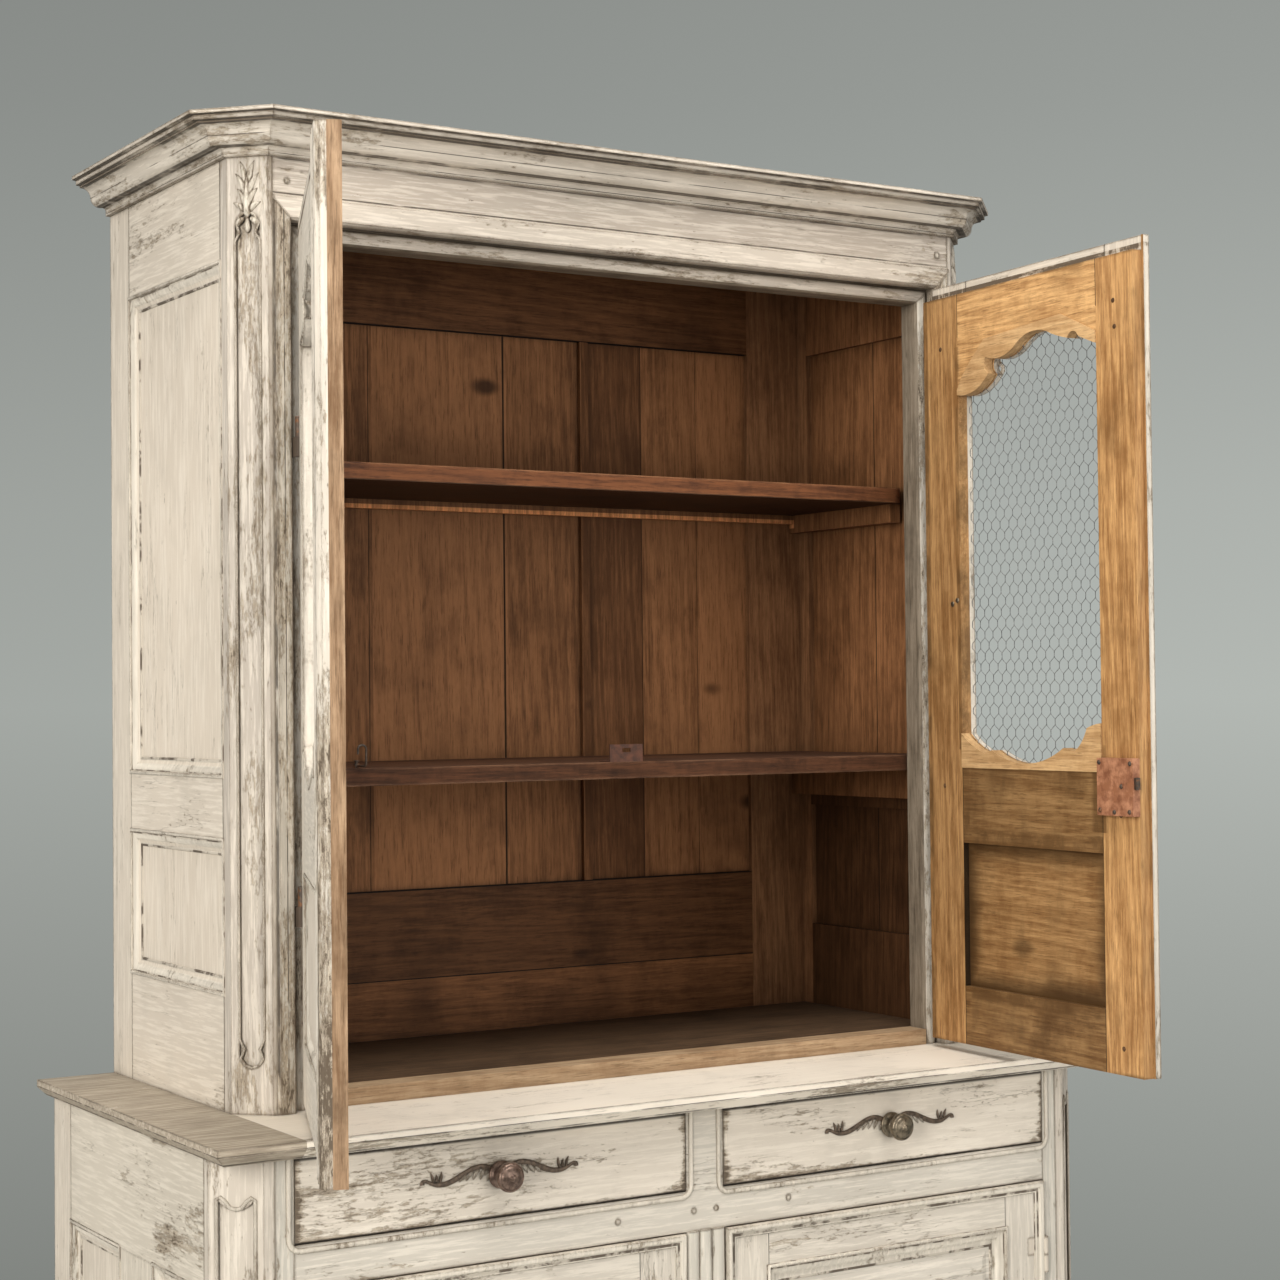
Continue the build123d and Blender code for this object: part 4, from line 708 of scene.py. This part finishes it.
def dress_doors():
    for side, opening in (("right", 0.322), ("left", 0.326)):
        rails = (0, 0.086, 0.086 + opening, "x")
        seams = [(0, s, 0.0009, *ends) for s in (0.086, 0.086 + opening) for ends in ((0, 0.424), (1.064, 1.2))]
        honey = {
            "dark": (0.30, 0.145, 0.050), "light": (0.89, 0.545, 0.240), "grime": 0.50, "door": side, "switch": rails, "lines": seams,
            "dirt": 0.75, "knots": 0.45, "shine": 0.5, "stains": 0.75, "reach": 0.010,
            "zones": [([(0, 0.086, 0.086 + opening), (2, 0.0, 0.43)], 0.42), ([(0, 0.0, 0.086)], 0.76),
                      ([(0, 0.086 + opening, 0.6)], 0.88)],
        }
        honey["smudges"] = [
            (2, 0.322, 0.016, 0.086, 0.086 + opening), (2, 0.092, 0.013, 0.086, 0.086 + opening), (0, 0.001, 0.012),
            (0, 0.171 + opening, 0.009), (2, 1.134, 0.010), (0, 0.079 + opening, 0.020, 0.34, 0.46),
            (0, 0.094, 0.010, 0.30, 0.43), (0, 0.083, 0.007, 0.45, 1.05), (2, 0.008, 0.012),
        ]
        outer = {"wear": 0.7, "tone": (0.68, 0.61, 0.51), "door": side, "switch": rails, "lines": seams,
                 "rims": [(((0, 0.0, 0.172 + opening), (2, 0.0, 1.136)), 0.006, 0.15)]}
        bare_from = 0.0095 if side == "right" else 0.0245
        dress(painted_outside(side + "_door_faces", outer, honey, [(1, bare_from, 0.1)], side), side + "_door_frame")
        field = {
            **honey, "grain": "x", "switch": None, "lines": (), "smudges": (), "dirt": 0.95, "knots": 0.6, "stains": 0.6,
            "zones": [([(0, 0.0, 0.5)], 0.56)], "dark_border": ((0.086, 0.086 + opening, 0.100, 0.312), 0.045),
        }
        face = {"wear": 0.4, "door": side}
        dress(painted_outside(side + "_panel_faces", face, field, [(1, 0.0125, 0.1)], side), side + "_door_panel")
        insert = {"grain": "x", "dark": (0.38, 0.215, 0.090), "light": (0.76, 0.500, 0.250), "door": side, "dirt": 0.6,
                  "knots": 0.1, "stains": 0.2, "reach": 0.008}
        dress(painted_outside(side + "_insert_faces", face, insert, [(1, 0.0125 if side == "right" else 0.0245, 0.1)], side),
              side + "_door_scalloped_inserts")
    reeds = [(0, s, 0.0010) for s in (0.528, 0.538, 0.549, 0.559)]
    edge = {"dark": (0.15, 0.080, 0.038), "light": (0.53, 0.36, 0.22), "door": "left", "stains": 0.7, "grime": 0.6}
    dress(
        painted_outside("strip_faces", {"wear": 1.1, "tone": (0.66, 0.59, 0.495), "door": "left", "creases": reeds}, edge,
                        [(0, 0.5655, 0.6), (1, 0.0075, 0.1)], "left"),
        "left_door_meeting_strip",
    )


def dress_metal():
    wire = metal("metal_wire", (0.085, 0.09, 0.09), (0.21, 0.215, 0.21), 0.25, 0.6)
    dress(wire, "left_door_wire_mesh", "right_door_wire_mesh")
    iron = metal("metal_iron", (0.045, 0.035, 0.028), (0.13, 0.095, 0.07), 0.6, 0.6, spots=(0.20, 0.085, 0.035))
    dress(
        iron, "left_door_hinge_halves", "right_door_hinge_halves", "door_hook", "hook_pin", "key", "lock_bolt",
    )
    dress(
        painted_outside("case_hinges", {"wear": 0.8}, {"dark": (0.04, 0.03, 0.022), "light": (0.12, 0.085, 0.06)}, [(2, 1.0, 3.0)]),
        "case_hinge_halves",
    )
    dress(paint("paint_hinge", wear=0.8), "lower_left_door_hinge_halves", "lower_right_door_hinge_halves")
    dress(
        metal("metal_lock", (0.22, 0.080, 0.036), (0.50, 0.235, 0.125), 0.15, 0.62, 70.0, (0.30, 0.12, 0.055)),
        "right_door_lock_case",
    )
    dress(metal("metal_catch", (0.045, 0.018, 0.010), (0.115, 0.042, 0.022), 0.1, 0.7, 90.0), "catch_plate")
    bronze = metal("metal_bronze", (0.075, 0.060, 0.042), (0.25, 0.20, 0.14), 0.75, 0.36, 160.0)
    copper = metal("metal_copper", (0.090, 0.057, 0.043), (0.25, 0.170, 0.132), 0.7, 0.36, 160.0)
    plate = metal("metal_plate", (0.050, 0.035, 0.024), (0.17, 0.120, 0.085), 0.5, 0.5, 150.0)
    dress(plate, "left_drawer_backplate", "right_drawer_backplate")
    dress(bronze, "right_drawer_knob")
    dress(copper, "left_drawer_knob")
    return wire, iron, bronze, copper, plate


# Pieces: shapes swept or turned in mesh code
def tube_rings(points, radii, sides, flat=1.0, flat_axis=None):
    """Rings of points round a path, squashed along an axis if asked."""
    rings = []
    count = len(points)
    for i, point in enumerate(points):
        before = points[max(i - 1, 0)]
        after = points[min(i + 1, count - 1)]
        along = (after - before).normalized()
        helper = flat_axis if flat_axis is not None else Vector((0, 0, 1))
        if abs(along.dot(helper)) > 0.98:
            helper = Vector((1, 0, 0))
        u = along.cross(helper).normalized()
        v = along.cross(u).normalized()
        radius = radii[i] if isinstance(radii, (list, tuple)) else radii
        rings.append([
            point + u * (radius * cos(2 * pi * k / sides)) + v * (radius * flat * sin(2 * pi * k / sides))
            for k in range(sides)
        ])
    return rings


def join_rings(points, faces, rings, closed=False):
    start = len(points)
    sides = len(rings[0])
    for ring in rings:
        points.extend(ring)
    count = len(rings)
    for i in range(count if closed else count - 1):
        a = start + i * sides
        b = start + ((i + 1) % count) * sides
        for k in range(sides):
            m = (k + 1) % sides
            faces.append([a + k, a + m, b + m, b + k])
    if not closed:
        faces.append([start + k for k in reversed(range(sides))])
        faces.append([start + (count - 1) * sides + k for k in range(sides)])


def smooth_path(knots, steps=6):
    """A curve through the knots, in short runs."""
    out = []
    last = len(knots) - 1
    for i in range(last):
        a, b, c, d = (knots[max(i - 1, 0)], knots[i], knots[i + 1], knots[min(i + 2, last)])
        for k in range(steps):
            t = k / steps
            out.append(tuple(
                0.5 * (2 * q + (r - p) * t + (2 * p - 5 * q + 4 * r - w) * t * t + (3 * q - p - 3 * r + w) * t ** 3)
                for p, q, r, w in zip(a, b, c, d)
            ))
    out.append(tuple(knots[-1]))
    return out


def moulding_ring(points, faces, centre, u, v, n, width, height, profile, cracks=()):
    """A mitred moulding round a rectangle; the profile runs inwards from its edge as (inset, rise).

    Gives the faces along the steps of the profile that are cracked.
    """
    first = len(faces)
    centre, u, v, n = Vector(centre), Vector(u), Vector(v), Vector(n)
    rings = []
    for sx, sy in ((-1, -1), (1, -1), (1, 1), (-1, 1)):
        rings.append([
            centre + u * (sx * (width / 2 - inset)) + v * (sy * (height / 2 - inset)) + n * rise
            for inset, rise in profile
        ])
    join_rings(points, faces, rings, closed=True)
    return [first + side * len(profile) + step for side in range(4) for step in cracks]


PANEL_CRACKS = (0, 5, 12, 13)
PANEL_PROFILE = [
    (-0.0035, -0.0010), (-0.0030, 0.0012), (-0.0015, 0.0020), (0.0005, 0.0020), (0.0015, 0.0008), (0.0020, -0.0008),
    (0.0036, -0.0010), (0.0062, -0.0016), (0.0092, -0.0032), (0.0118, -0.0056), (0.0140, -0.0074), (0.0165, -0.0080),
    (0.0180, -0.0072), (0.0205, -0.0072), (0.0215, -0.0090), (0.0200, -0.0110), (0.0, -0.0110),
]


def side_mouldings(material, crack):
    points, faces, dark = [], [], []
    for sx in (-1, 1):
        for z0, z1 in ((1.132, 1.331), (1.414, 2.085)):
            dark += moulding_ring(
                points, faces, (sx * U_HALF, (0.234 - 0.1036) / 2, (z0 + z1) / 2), (0, 1, 0), (0, 0, 1), (sx, 0, 0),
                0.3376, z1 - z0, PANEL_PROFILE, PANEL_CRACKS,
            )
        for y0, y1 in ((-0.250, -0.076), (0.046, 0.240)):
            dark += moulding_ring(
                points, faces, (sx * HALF, (y0 + y1) / 2, 0.485), (0, 1, 0), (0, 0, 1), (sx, 0, 0), y1 - y0, 0.610,
                PANEL_PROFILE, PANEL_CRACKS,
            )
    mesh_object("side_panel_mouldings", points, faces, "case", material, sharp=40, cracked=(crack, dark))


def lower_door_mouldings(material, crack):
    for side in ("left", "right"):
        low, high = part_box("lower_" + side + "_door_frame")
        x0, x1 = low.x + LOWER_STILE, high.x - LOWER_STILE
        z0, z1 = low.z + LOWER_BOTTOM_RAIL, high.z - LOWER_TOP_RAIL
        points, faces = [], []
        profile = [(inset * 1.15, rise * (1.0 if rise < 0 else 1.6)) for inset, rise in PANEL_PROFILE]
        dark = moulding_ring(
            points, faces, ((x0 + x1) / 2, FRONT, (z0 + z1) / 2), (1, 0, 0), (0, 0, 1), (0, -1, 0), x1 - x0, z1 - z0,
            profile, PANEL_CRACKS,
        )
        mesh_object(
            "lower_" + side + "_door_moulding", points, faces, side + "_lower_door", material, sharp=40,
            cracked=(crack, dark),
        )


LIP_PROFILE = [
    (0.0005, -0.0030), (0.0005, 0.0040), (0.0018, 0.0062), (0.0045, 0.0070), (0.0075, 0.0062), (0.0092, 0.0038),
    (0.0102, 0.0030), (0.0140, 0.0028), (0.0160, 0.0018), (0.0170, 0.0), (0.0172, -0.0030),
]


def lower_door_lips(material, crack):
    """A moulded lip worked round the edge of each lower door."""
    for side in ("left", "right"):
        low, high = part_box("lower_" + side + "_door_frame")
        points, faces = [], []
        dark = moulding_ring(
            points, faces, ((low.x + high.x) / 2, FRONT, (low.z + high.z) / 2), (1, 0, 0), (0, 0, 1), (0, -1, 0),
            high.x - low.x, high.z - low.z, LIP_PROFILE, (6, 8),
        )
        mesh_object("lower_" + side + "_door_lip", points, faces, side + "_lower_door", material, sharp=40,
                    cracked=(crack, dark))


def drawer_beads(material):
    """A raised bead round each drawer opening, with its lower corners rounded."""
    points, faces = [], []
    for sx in (-1, 1):
        out_x, in_x, top, low = 0.6095, 0.0225, 0.9565, 0.8375
        bend = 0.016
        path = [(out_x, top), (out_x, low + bend)]
        path += [(out_x - bend + bend * cos(a), low + bend + bend * sin(a)) for a in [-pi / 12 * k for k in range(1, 6)]]
        path += [(out_x - bend, low), (in_x + bend, low)]
        path += [(in_x + bend + bend * cos(a), low + bend + bend * sin(a)) for a in [-pi / 2 - pi / 12 * k for k in range(1, 6)]]
        path += [(in_x, low + bend), (in_x, top)]
        line = [Vector((sx * x, FRONT - 0.0004, z)) for x, z in path]
        join_rings(points, faces, tube_rings(line, 0.0036, 10, 0.75, Vector((0, 1, 0))))
    mesh_object("drawer_opening_beads", points, faces, "case", material, sharp=60)


def cant_frame(side, lower):
    """Centre line, across and outward directions of a post's canted face."""
    if lower:
        half, front, dx, dy = HALF, FRONT, 0.053, 0.046
    else:
        half, front, dx, dy = U_HALF, U_FRONT, 0.0404, 0.0404
    middle = Vector((side * (half - dx / 2), front + dy / 2, 0))
    across = Vector((-side * dx, -dy, 0)).normalized()
    outward = Vector((side * dy, -dx, 0)).normalized()
    return middle, across, outward


def post_trim(material):
    """Raised beads round the posts' sunk panels, and a carved leaf above the upper ones."""
    for side, word in ((-1, "left"), (1, "right")):
        points, faces = [], []
        middle, across, outward = cant_frame(side, False)
        half = 0.0571 * 0.6 / 2
        path = [(half, 1.060 + half), (half, 2.108)]
        path += [(half * 0.62, 2.118), (half * 0.9, 2.130), (half * 0.55, 2.1415), (0, 2.146)]
        path += [(-x, z) for x, z in reversed(path[:-1])]
        low_end = [(-half * 0.62, 1.064), (-half * 0.9, 1.052), (-half * 0.55, 1.0435), (0, 1.040)]
        path += low_end + [(-x, z) for x, z in reversed(low_end[:-1])]
        line = [middle + across * x + outward * 0.0002 + Vector((0, 0, z)) for x, z in path]
        rings = tube_rings([line[-1]] + line + [line[0]], 0.0021, 8, 0.8, outward)[1:-1]
        join_rings(points, faces, rings, closed=True)
        middle, across, outward = cant_frame(side, True)
        half = 0.0702 * 0.7 / 2
        crown = [(half, 0.905), (half * 0.80, 0.9075), (half * 0.55, 0.903), (half * 0.3, 0.895), (0, 0.8935)]
        path = [(half, 0.152)] + crown + [(-x, z) for x, z in reversed(crown[:-1])] + [(-half, 0.152)]
        line = [middle + across * x + outward * 0.0002 + Vector((0, 0, z)) for x, z in path]
        rings = tube_rings([line[-1]] + line + [line[0]], 0.0026, 8, 0.8, outward)[1:-1]
        join_rings(points, faces, rings, closed=True)
        mesh_object(word + "_post_beads", points, faces, "case", material, sharp=60)
        carved_leaf(word, side, material)


def petal(points, faces, root, tip, width, rise, frame, bend=0.0):
    """A rounded leaf lobe in relief: a raised dome along its rib."""
    middle, across, outward = frame
    steps, sides = 9, 8
    rings = []
    direction = Vector((tip[0] - root[0], tip[1] - root[1]))
    length = direction.length
    direction.normalize()
    normal = Vector((-direction.y, direction.x))
    for i in range(steps + 1):
        t = i / steps
        bulge = sin(pi * min(1.0, 0.06 + 0.94 * t) ** 0.8) ** 0.7 if 0 < t < 1 else 0.12
        spine = Vector(root) + direction * (length * t) + normal * (bend * sin(pi * t))
        ring = []
        for k in range(sides):
            turn = 2 * pi * k / sides
            offset = normal * (width / 2 * bulge * cos(turn))
            height = rise * bulge * sin(turn)
            flat = spine + offset
            ring.append(middle + across * flat.x + outward * height + Vector((0, 0, flat.y)))
        rings.append(ring)
    join_rings(points, faces, rings)


def carved_leaf(word, side, material):
    points, faces = [], []
    frame_here = cant_frame(side, False)
    lobes = [
        ((0, 2.136), (0, 2.196), 0.012, 0.0060, 0.0),
        ((0, 2.150), (0.014, 2.176), 0.010, 0.0050, 0.003),
        ((0, 2.150), (-0.014, 2.176), 0.010, 0.0050, -0.003),
        ((0.002, 2.164), (0.016, 2.196), 0.009, 0.0045, 0.003),
        ((-0.002, 2.164), (-0.016, 2.196), 0.009, 0.0045, -0.003),
        ((0.003, 2.182), (0.010, 2.212), 0.008, 0.0040, 0.002),
        ((-0.003, 2.182), (-0.010, 2.212), 0.008, 0.0040, -0.002),
        ((0.003, 2.146), (0.019, 2.158), 0.008, 0.0045, 0.002),
        ((-0.003, 2.146), (-0.019, 2.158), 0.008, 0.0045, -0.002),
        ((0.004, 2.138), (0.016, 2.126), 0.008, 0.0035, 0.001),
        ((-0.004, 2.138), (-0.016, 2.126), 0.008, 0.0035, -0.001),
        ((0, 2.118), (0, 2.140), 0.009, 0.0040, 0.0),
    ]
    for root, tip, width, rise, bend in lobes:
        petal(points, faces, root, tip, width, rise, frame_here, bend)
    mesh_object(word + "_carved_leaf", points, faces, "case", material, sharp=70)


# The upper doors' own pieces
def door_point(side, s, t, z):
    """A point given across from the hinges, inwards from the outer face, and up, on a door as it stands open."""
    sign, turn = (1, RIGHT_OPEN) if side == "right" else (-1, LEFT_OPEN)
    x = -sign * s
    return Vector((
        sign * DOOR_AXIS_X + x * cos(turn) - t * sin(turn), DOOR_AXIS_Y + x * sin(turn) + t * cos(turn), BASE + z,
    ))


TOP_EDGE = [
    (0.0, 0.0), (0.146, 0.034), (0.242, 0.261), (0.21, 0.42), (0.224, 0.545), (0.323, 0.489), (0.432, 0.614),
    (0.56, 0.8), (0.702, 0.693), (0.76, 0.62), (0.811, 0.568), (0.85, 0.66), (0.885, 0.568), (0.94, 0.48), (1.0, 0.398),
]
LOW_EDGE = [
    (0.0, 0.76), (0.09, 0.48), (0.177, 0.33), (0.2, 0.36), (0.23, 0.4), (0.42, 0.14), (0.745, 0.478), (0.79, 0.44),
    (0.826, 0.418), (0.87, 0.6), (0.907, 0.896), (0.95, 0.96), (1.0, 1.0),
]
HINGE_STILE = 0.086
NET_LOW, NET_LOW_RISE = 0.423, 0.067
NET_TOP, NET_TOP_RISE = 0.978, 0.088


def edge_height(table, share):
    for (a, u), (b, v) in zip(table, table[1:]):
        if a <= share <= b:
            return u + (v - u) * (share - a) / (b - a)
    return table[-1][1] if share > 0.5 else table[0][1]


def wire_netting(side, opening, material):
    """Six-sided netting: a twisted pair up each side of a mesh and single wires across."""
    pitch, twist, slant = 0.0204, 0.0085, 0.0075
    points, faces = [], []
    columns = int(opening / pitch) + 1
    rows = int(0.72 / (twist + slant))

    def inside(s, z):
        share = (s - HINGE_STILE) / opening
        if not 0.0 <= share <= 1.0:
            return False
        low = NET_LOW + NET_LOW_RISE * edge_height(LOW_EDGE, share) - 0.009
        high = NET_TOP + NET_TOP_RISE * edge_height(TOP_EDGE, share) + 0.009
        return low <= z <= high

    def strand(path, radius, sides):
        line = [door_point(side, s, 0.0125 + t, z) for s, t, z in path]
        join_rings(points, faces, tube_rings(line, radius, sides))

    for row in range(rows):
        z = NET_LOW + row * (twist + slant)
        for column in range(columns + 1):
            s = HINGE_STILE + (column + (row % 2) / 2) * pitch
            waver = 0.0006 * sin(3.1 * row + 1.7 * column)
            s += waver
            if inside(s, z) and inside(s, z + twist):
                for phase in (0, pi):
                    strand([
                        (s + 0.00042 * cos(phase + 1.25 * pi * k), 0.00042 * sin(phase + 1.25 * pi * k), z + twist * k / 4)
                        for k in range(5)
                    ], 0.00050, 4)
            for shift in (-0.5, 0.5):
                end_s = s - waver + shift * pitch + 0.0006 * sin(3.1 * (row + 1) + 1.7 * (column + (shift > 0) - (1 - row % 2)))
                end_z = z + twist + slant
                if inside(s, z + twist) and inside(end_s, end_z):
                    strand([(s, 0, z + twist), ((s + end_s) / 2, 0.0003, z + twist + slant / 2), (end_s, 0, end_z)], 0.00056, 4)
    obj = mesh_object(side + "_wire_netting", points, faces, side + "_upper_door", material, sharp=80)
    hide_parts(side + "_door_wire_mesh")


def outer_door_mouldings(side, opening, material):
    """Beads on the outer face: along the scalloped opening and round the low panel."""
    points, faces = [], []
    s0, s1 = HINGE_STILE, HINGE_STILE + opening
    top = [(s0 + x * opening, NET_TOP + NET_TOP_RISE * y) for x, y in smooth_path(TOP_EDGE, 3)]
    low = [(s0 + x * opening, NET_LOW + NET_LOW_RISE * y) for x, y in smooth_path(LOW_EDGE, 3)]
    gap = 0.006
    path = [(min(max(s, s0 - gap), s1 + gap), z + gap) for s, z in top]
    path = [(s0 - gap, path[0][1] - 0.004)] + path[1:-1] + [(s1 + gap, path[-1][1] - 0.004)]
    path += [(s, z - gap) for s, z in reversed(low[1:-1])]
    path.insert(len(top), (s1 + gap, low[-1][1] - gap))
    path.append((s0 - gap, low[0][1] - gap))
    line = [door_point(side, s, 0.0002, z) for s, z in path]
    outward = (door_point(side, 0, -1, 0) - door_point(side, 0, 0, 0)).normalized()
    rings = tube_rings([line[-1]] + line + [line[0]], 0.0034, 8, 0.8, outward)[1:-1]
    join_rings(points, faces, rings, closed=True)
    across = (door_point(side, 1, 0, 0) - door_point(side, 0, 0, 0)).normalized()
    centre = door_point(side, (s0 + s1) / 2, 0, (0.100 + 0.312) / 2)
    moulding_ring(points, faces, centre, across, (0, 0, 1), outward, opening, 0.212, PANEL_PROFILE)
    mesh_object(side + "_door_outer_mouldings", points, faces, side + "_upper_door", material, sharp=40)


LOCK_NAILS = [(0.417, 0.372), (0.478, 0.371), (0.416, 0.437), (0.480, 0.436), (0.447, 0.370), (0.462, 0.405)]
WIRE_NAILS = [(0.066, 0.667), (0.078, 0.672)]
STILE_PEGS = [(0.445, 1.066), (0.447, 1.030), (0.446, 0.365), (0.040, 0.395), (0.043, 1.052), (0.445, 0.050)]


def door_nails(name, places, depth, radius, material):
    """Domed nail or peg heads on the inner face of the right upper door."""
    points, faces = [], []
    inwards = (door_point("right", 0, 1, 0) - door_point("right", 0, 0, 0)).normalized()
    across = (door_point("right", 1, 0, 0) - door_point("right", 0, 0, 0)).normalized()
    for s, z in places:
        base_point = door_point("right", s, depth, z)
        rings = []
        for share, rise in ((1.0, -0.0006), (1.0, 0.0004), (0.82, 0.0012), (0.47, 0.0018), (0.12, 0.0020)):
            wide = radius * share
            rings.append([
                base_point + inwards * rise + across * (wide * cos(2 * pi * k / 10)) + Vector((0, 0, wide * sin(2 * pi * k / 10)))
                for k in range(10)
            ])
        join_rings(points, faces, rings)
    mesh_object(name, points, faces, "right_upper_door", material, sharp=60)


# The drawers' scrolled backplates and turned knobs
SCROLL_STEM = [
    (0.014, 0.0090, 0.0036), (0.022, 0.0125, 0.0034), (0.032, 0.0138, 0.0031), (0.044, 0.0112, 0.0032),
    (0.056, 0.0058, 0.0034), (0.068, 0.0005, 0.0036), (0.080, -0.0027, 0.0033), (0.092, -0.0026, 0.0029),
    (0.101, 0.0006, 0.0022), (0.1075, 0.0036, 0.0022), (0.1120, 0.0028, 0.0028), (0.1125, -0.0005, 0.0034),
]
SCROLL_CROWN = [
    ((0.088, -0.001), (0.0852, 0.0140), 0.0036, 0.0020), ((0.0925, 0.000), (0.0930, 0.0112), 0.0030, 0.0020),
    ((0.097, 0.000), (0.1010, 0.0136), 0.0036, 0.0020), ((0.0925, 0.001), (0.0925, 0.0060), 0.0060, 0.0016),
]
SCROLL_LEAVES = [
    ((0.014, 0.0060), (0.020, -0.0060), 0.0050, 0.0012), ((0.022, 0.0105), (0.030, -0.0030), 0.0056, 0.0012),
    ((0.031, 0.0110), (0.040, -0.0020), 0.0056, 0.0012), ((0.040, 0.0095), (0.050, -0.0025), 0.0050, 0.0012),
    ((0.050, 0.0060), (0.060, -0.0030), 0.0042, 0.0012),
]


def backplate(side, material, paint_left):
    low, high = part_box(side + "_drawer_backplate")
    centre = (low + high) / 2
    face = Vector((centre.x, high.y, centre.z))
    points, faces, painted = [], [], []
    outward = Vector((0, -1, 0))
    for sign in (-1, 1):
        stem = smooth_path(SCROLL_STEM, 4)
        line = [face + Vector((sign * x, -0.0010, z)) for x, z, r in stem]
        join_rings(points, faces, tube_rings(line, [r for x, z, r in stem], 10, 0.42, outward))
        frame_here = (Vector((face.x, face.y - 0.0012, face.z)), Vector((sign, 0, 0)), outward)
        for root, tip, width, rise in SCROLL_CROWN:
            petal(points, faces, root, tip, width, rise, frame_here, 0.0010)
        first = len(faces)
        for root, tip, width, rise in SCROLL_LEAVES:
            petal(points, faces, root, tip, width, rise, frame_here, 0.0010)
        painted += range(first, len(faces))
    obj = mesh_object(side + "_scroll_backplate", points, faces, side + "_drawer", material, sharp=70,
                      cracked=(paint_left, painted))
    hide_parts(side + "_drawer_backplate")


def turned_knob(side, material):
    low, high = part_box(side + "_drawer_knob")
    centre = (low + high) / 2
    profile = [
        (0.0178, 0.0000), (0.0180, 0.0016), (0.0170, 0.0030), (0.0152, 0.0034), (0.0144, 0.0048), (0.0126, 0.0054),
        (0.0090, 0.0062), (0.0072, 0.0080), (0.0068, 0.0115), (0.0078, 0.0145), (0.0120, 0.0165), (0.0168, 0.0185),
        (0.0188, 0.0210), (0.0193, 0.0240), (0.0190, 0.0268), (0.0180, 0.0288), (0.0168, 0.0296), (0.0162, 0.0290),
        (0.0154, 0.0291), (0.0148, 0.0302), (0.0110, 0.0322), (0.0064, 0.0333), (0.0046, 0.0336), (0.0042, 0.0344),
        (0.0034, 0.0353), (0.0018, 0.0358), (0.0005, 0.0360),
    ]
    sides = 40
    rings = [
        [Vector((centre.x + r * cos(2 * pi * k / sides), high.y - d, centre.z + r * sin(2 * pi * k / sides)))
         for k in range(sides)]
        for r, d in profile
    ]
    points, faces = [], []
    join_rings(points, faces, rings)
    obj = mesh_object(side + "_turned_knob", points, faces, side + "_drawer", material, sharp=50)
    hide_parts(side + "_drawer_knob")


camera()
world()
lights()
floor()
dress_case()
dress_fronts()
dress_inside()
dress_doors()
WIRE, IRON, BRONZE, COPPER, PLATE = dress_metal()
TRIM = paint("paint_trim", wear=0.75, tone=(0.74, 0.67, 0.56))
CRACK = cracked_paint("paint_crack")
PEG = wood("oak_peg", dark=(0.06, 0.03, 0.014), light=(0.20, 0.105, 0.048))
side_mouldings(TRIM, CRACK)
lower_door_mouldings(TRIM, CRACK)
lower_door_lips(TRIM, CRACK)
drawer_beads(TRIM)
post_trim(TRIM)
for door_side, door_opening in (("right", 0.322), ("left", 0.326)):
    wire_netting(door_side, door_opening, WIRE)
    outer_door_mouldings(door_side, door_opening, TRIM)
door_nails("lock_nails", LOCK_NAILS, 0.038, 0.0034, IRON)
door_nails("wire_nails", WIRE_NAILS, 0.026, 0.0042, BRONZE)
door_nails("right_door_pegs", STILE_PEGS, 0.0252, 0.0040, PEG)
for drawer_side, drawer_metal in (("left", COPPER), ("right", BRONZE)):
    backplate(drawer_side, PLATE, TRIM)
    turned_knob(drawer_side, drawer_metal)

bpy.context.scene.view_settings.view_transform = "Standard"
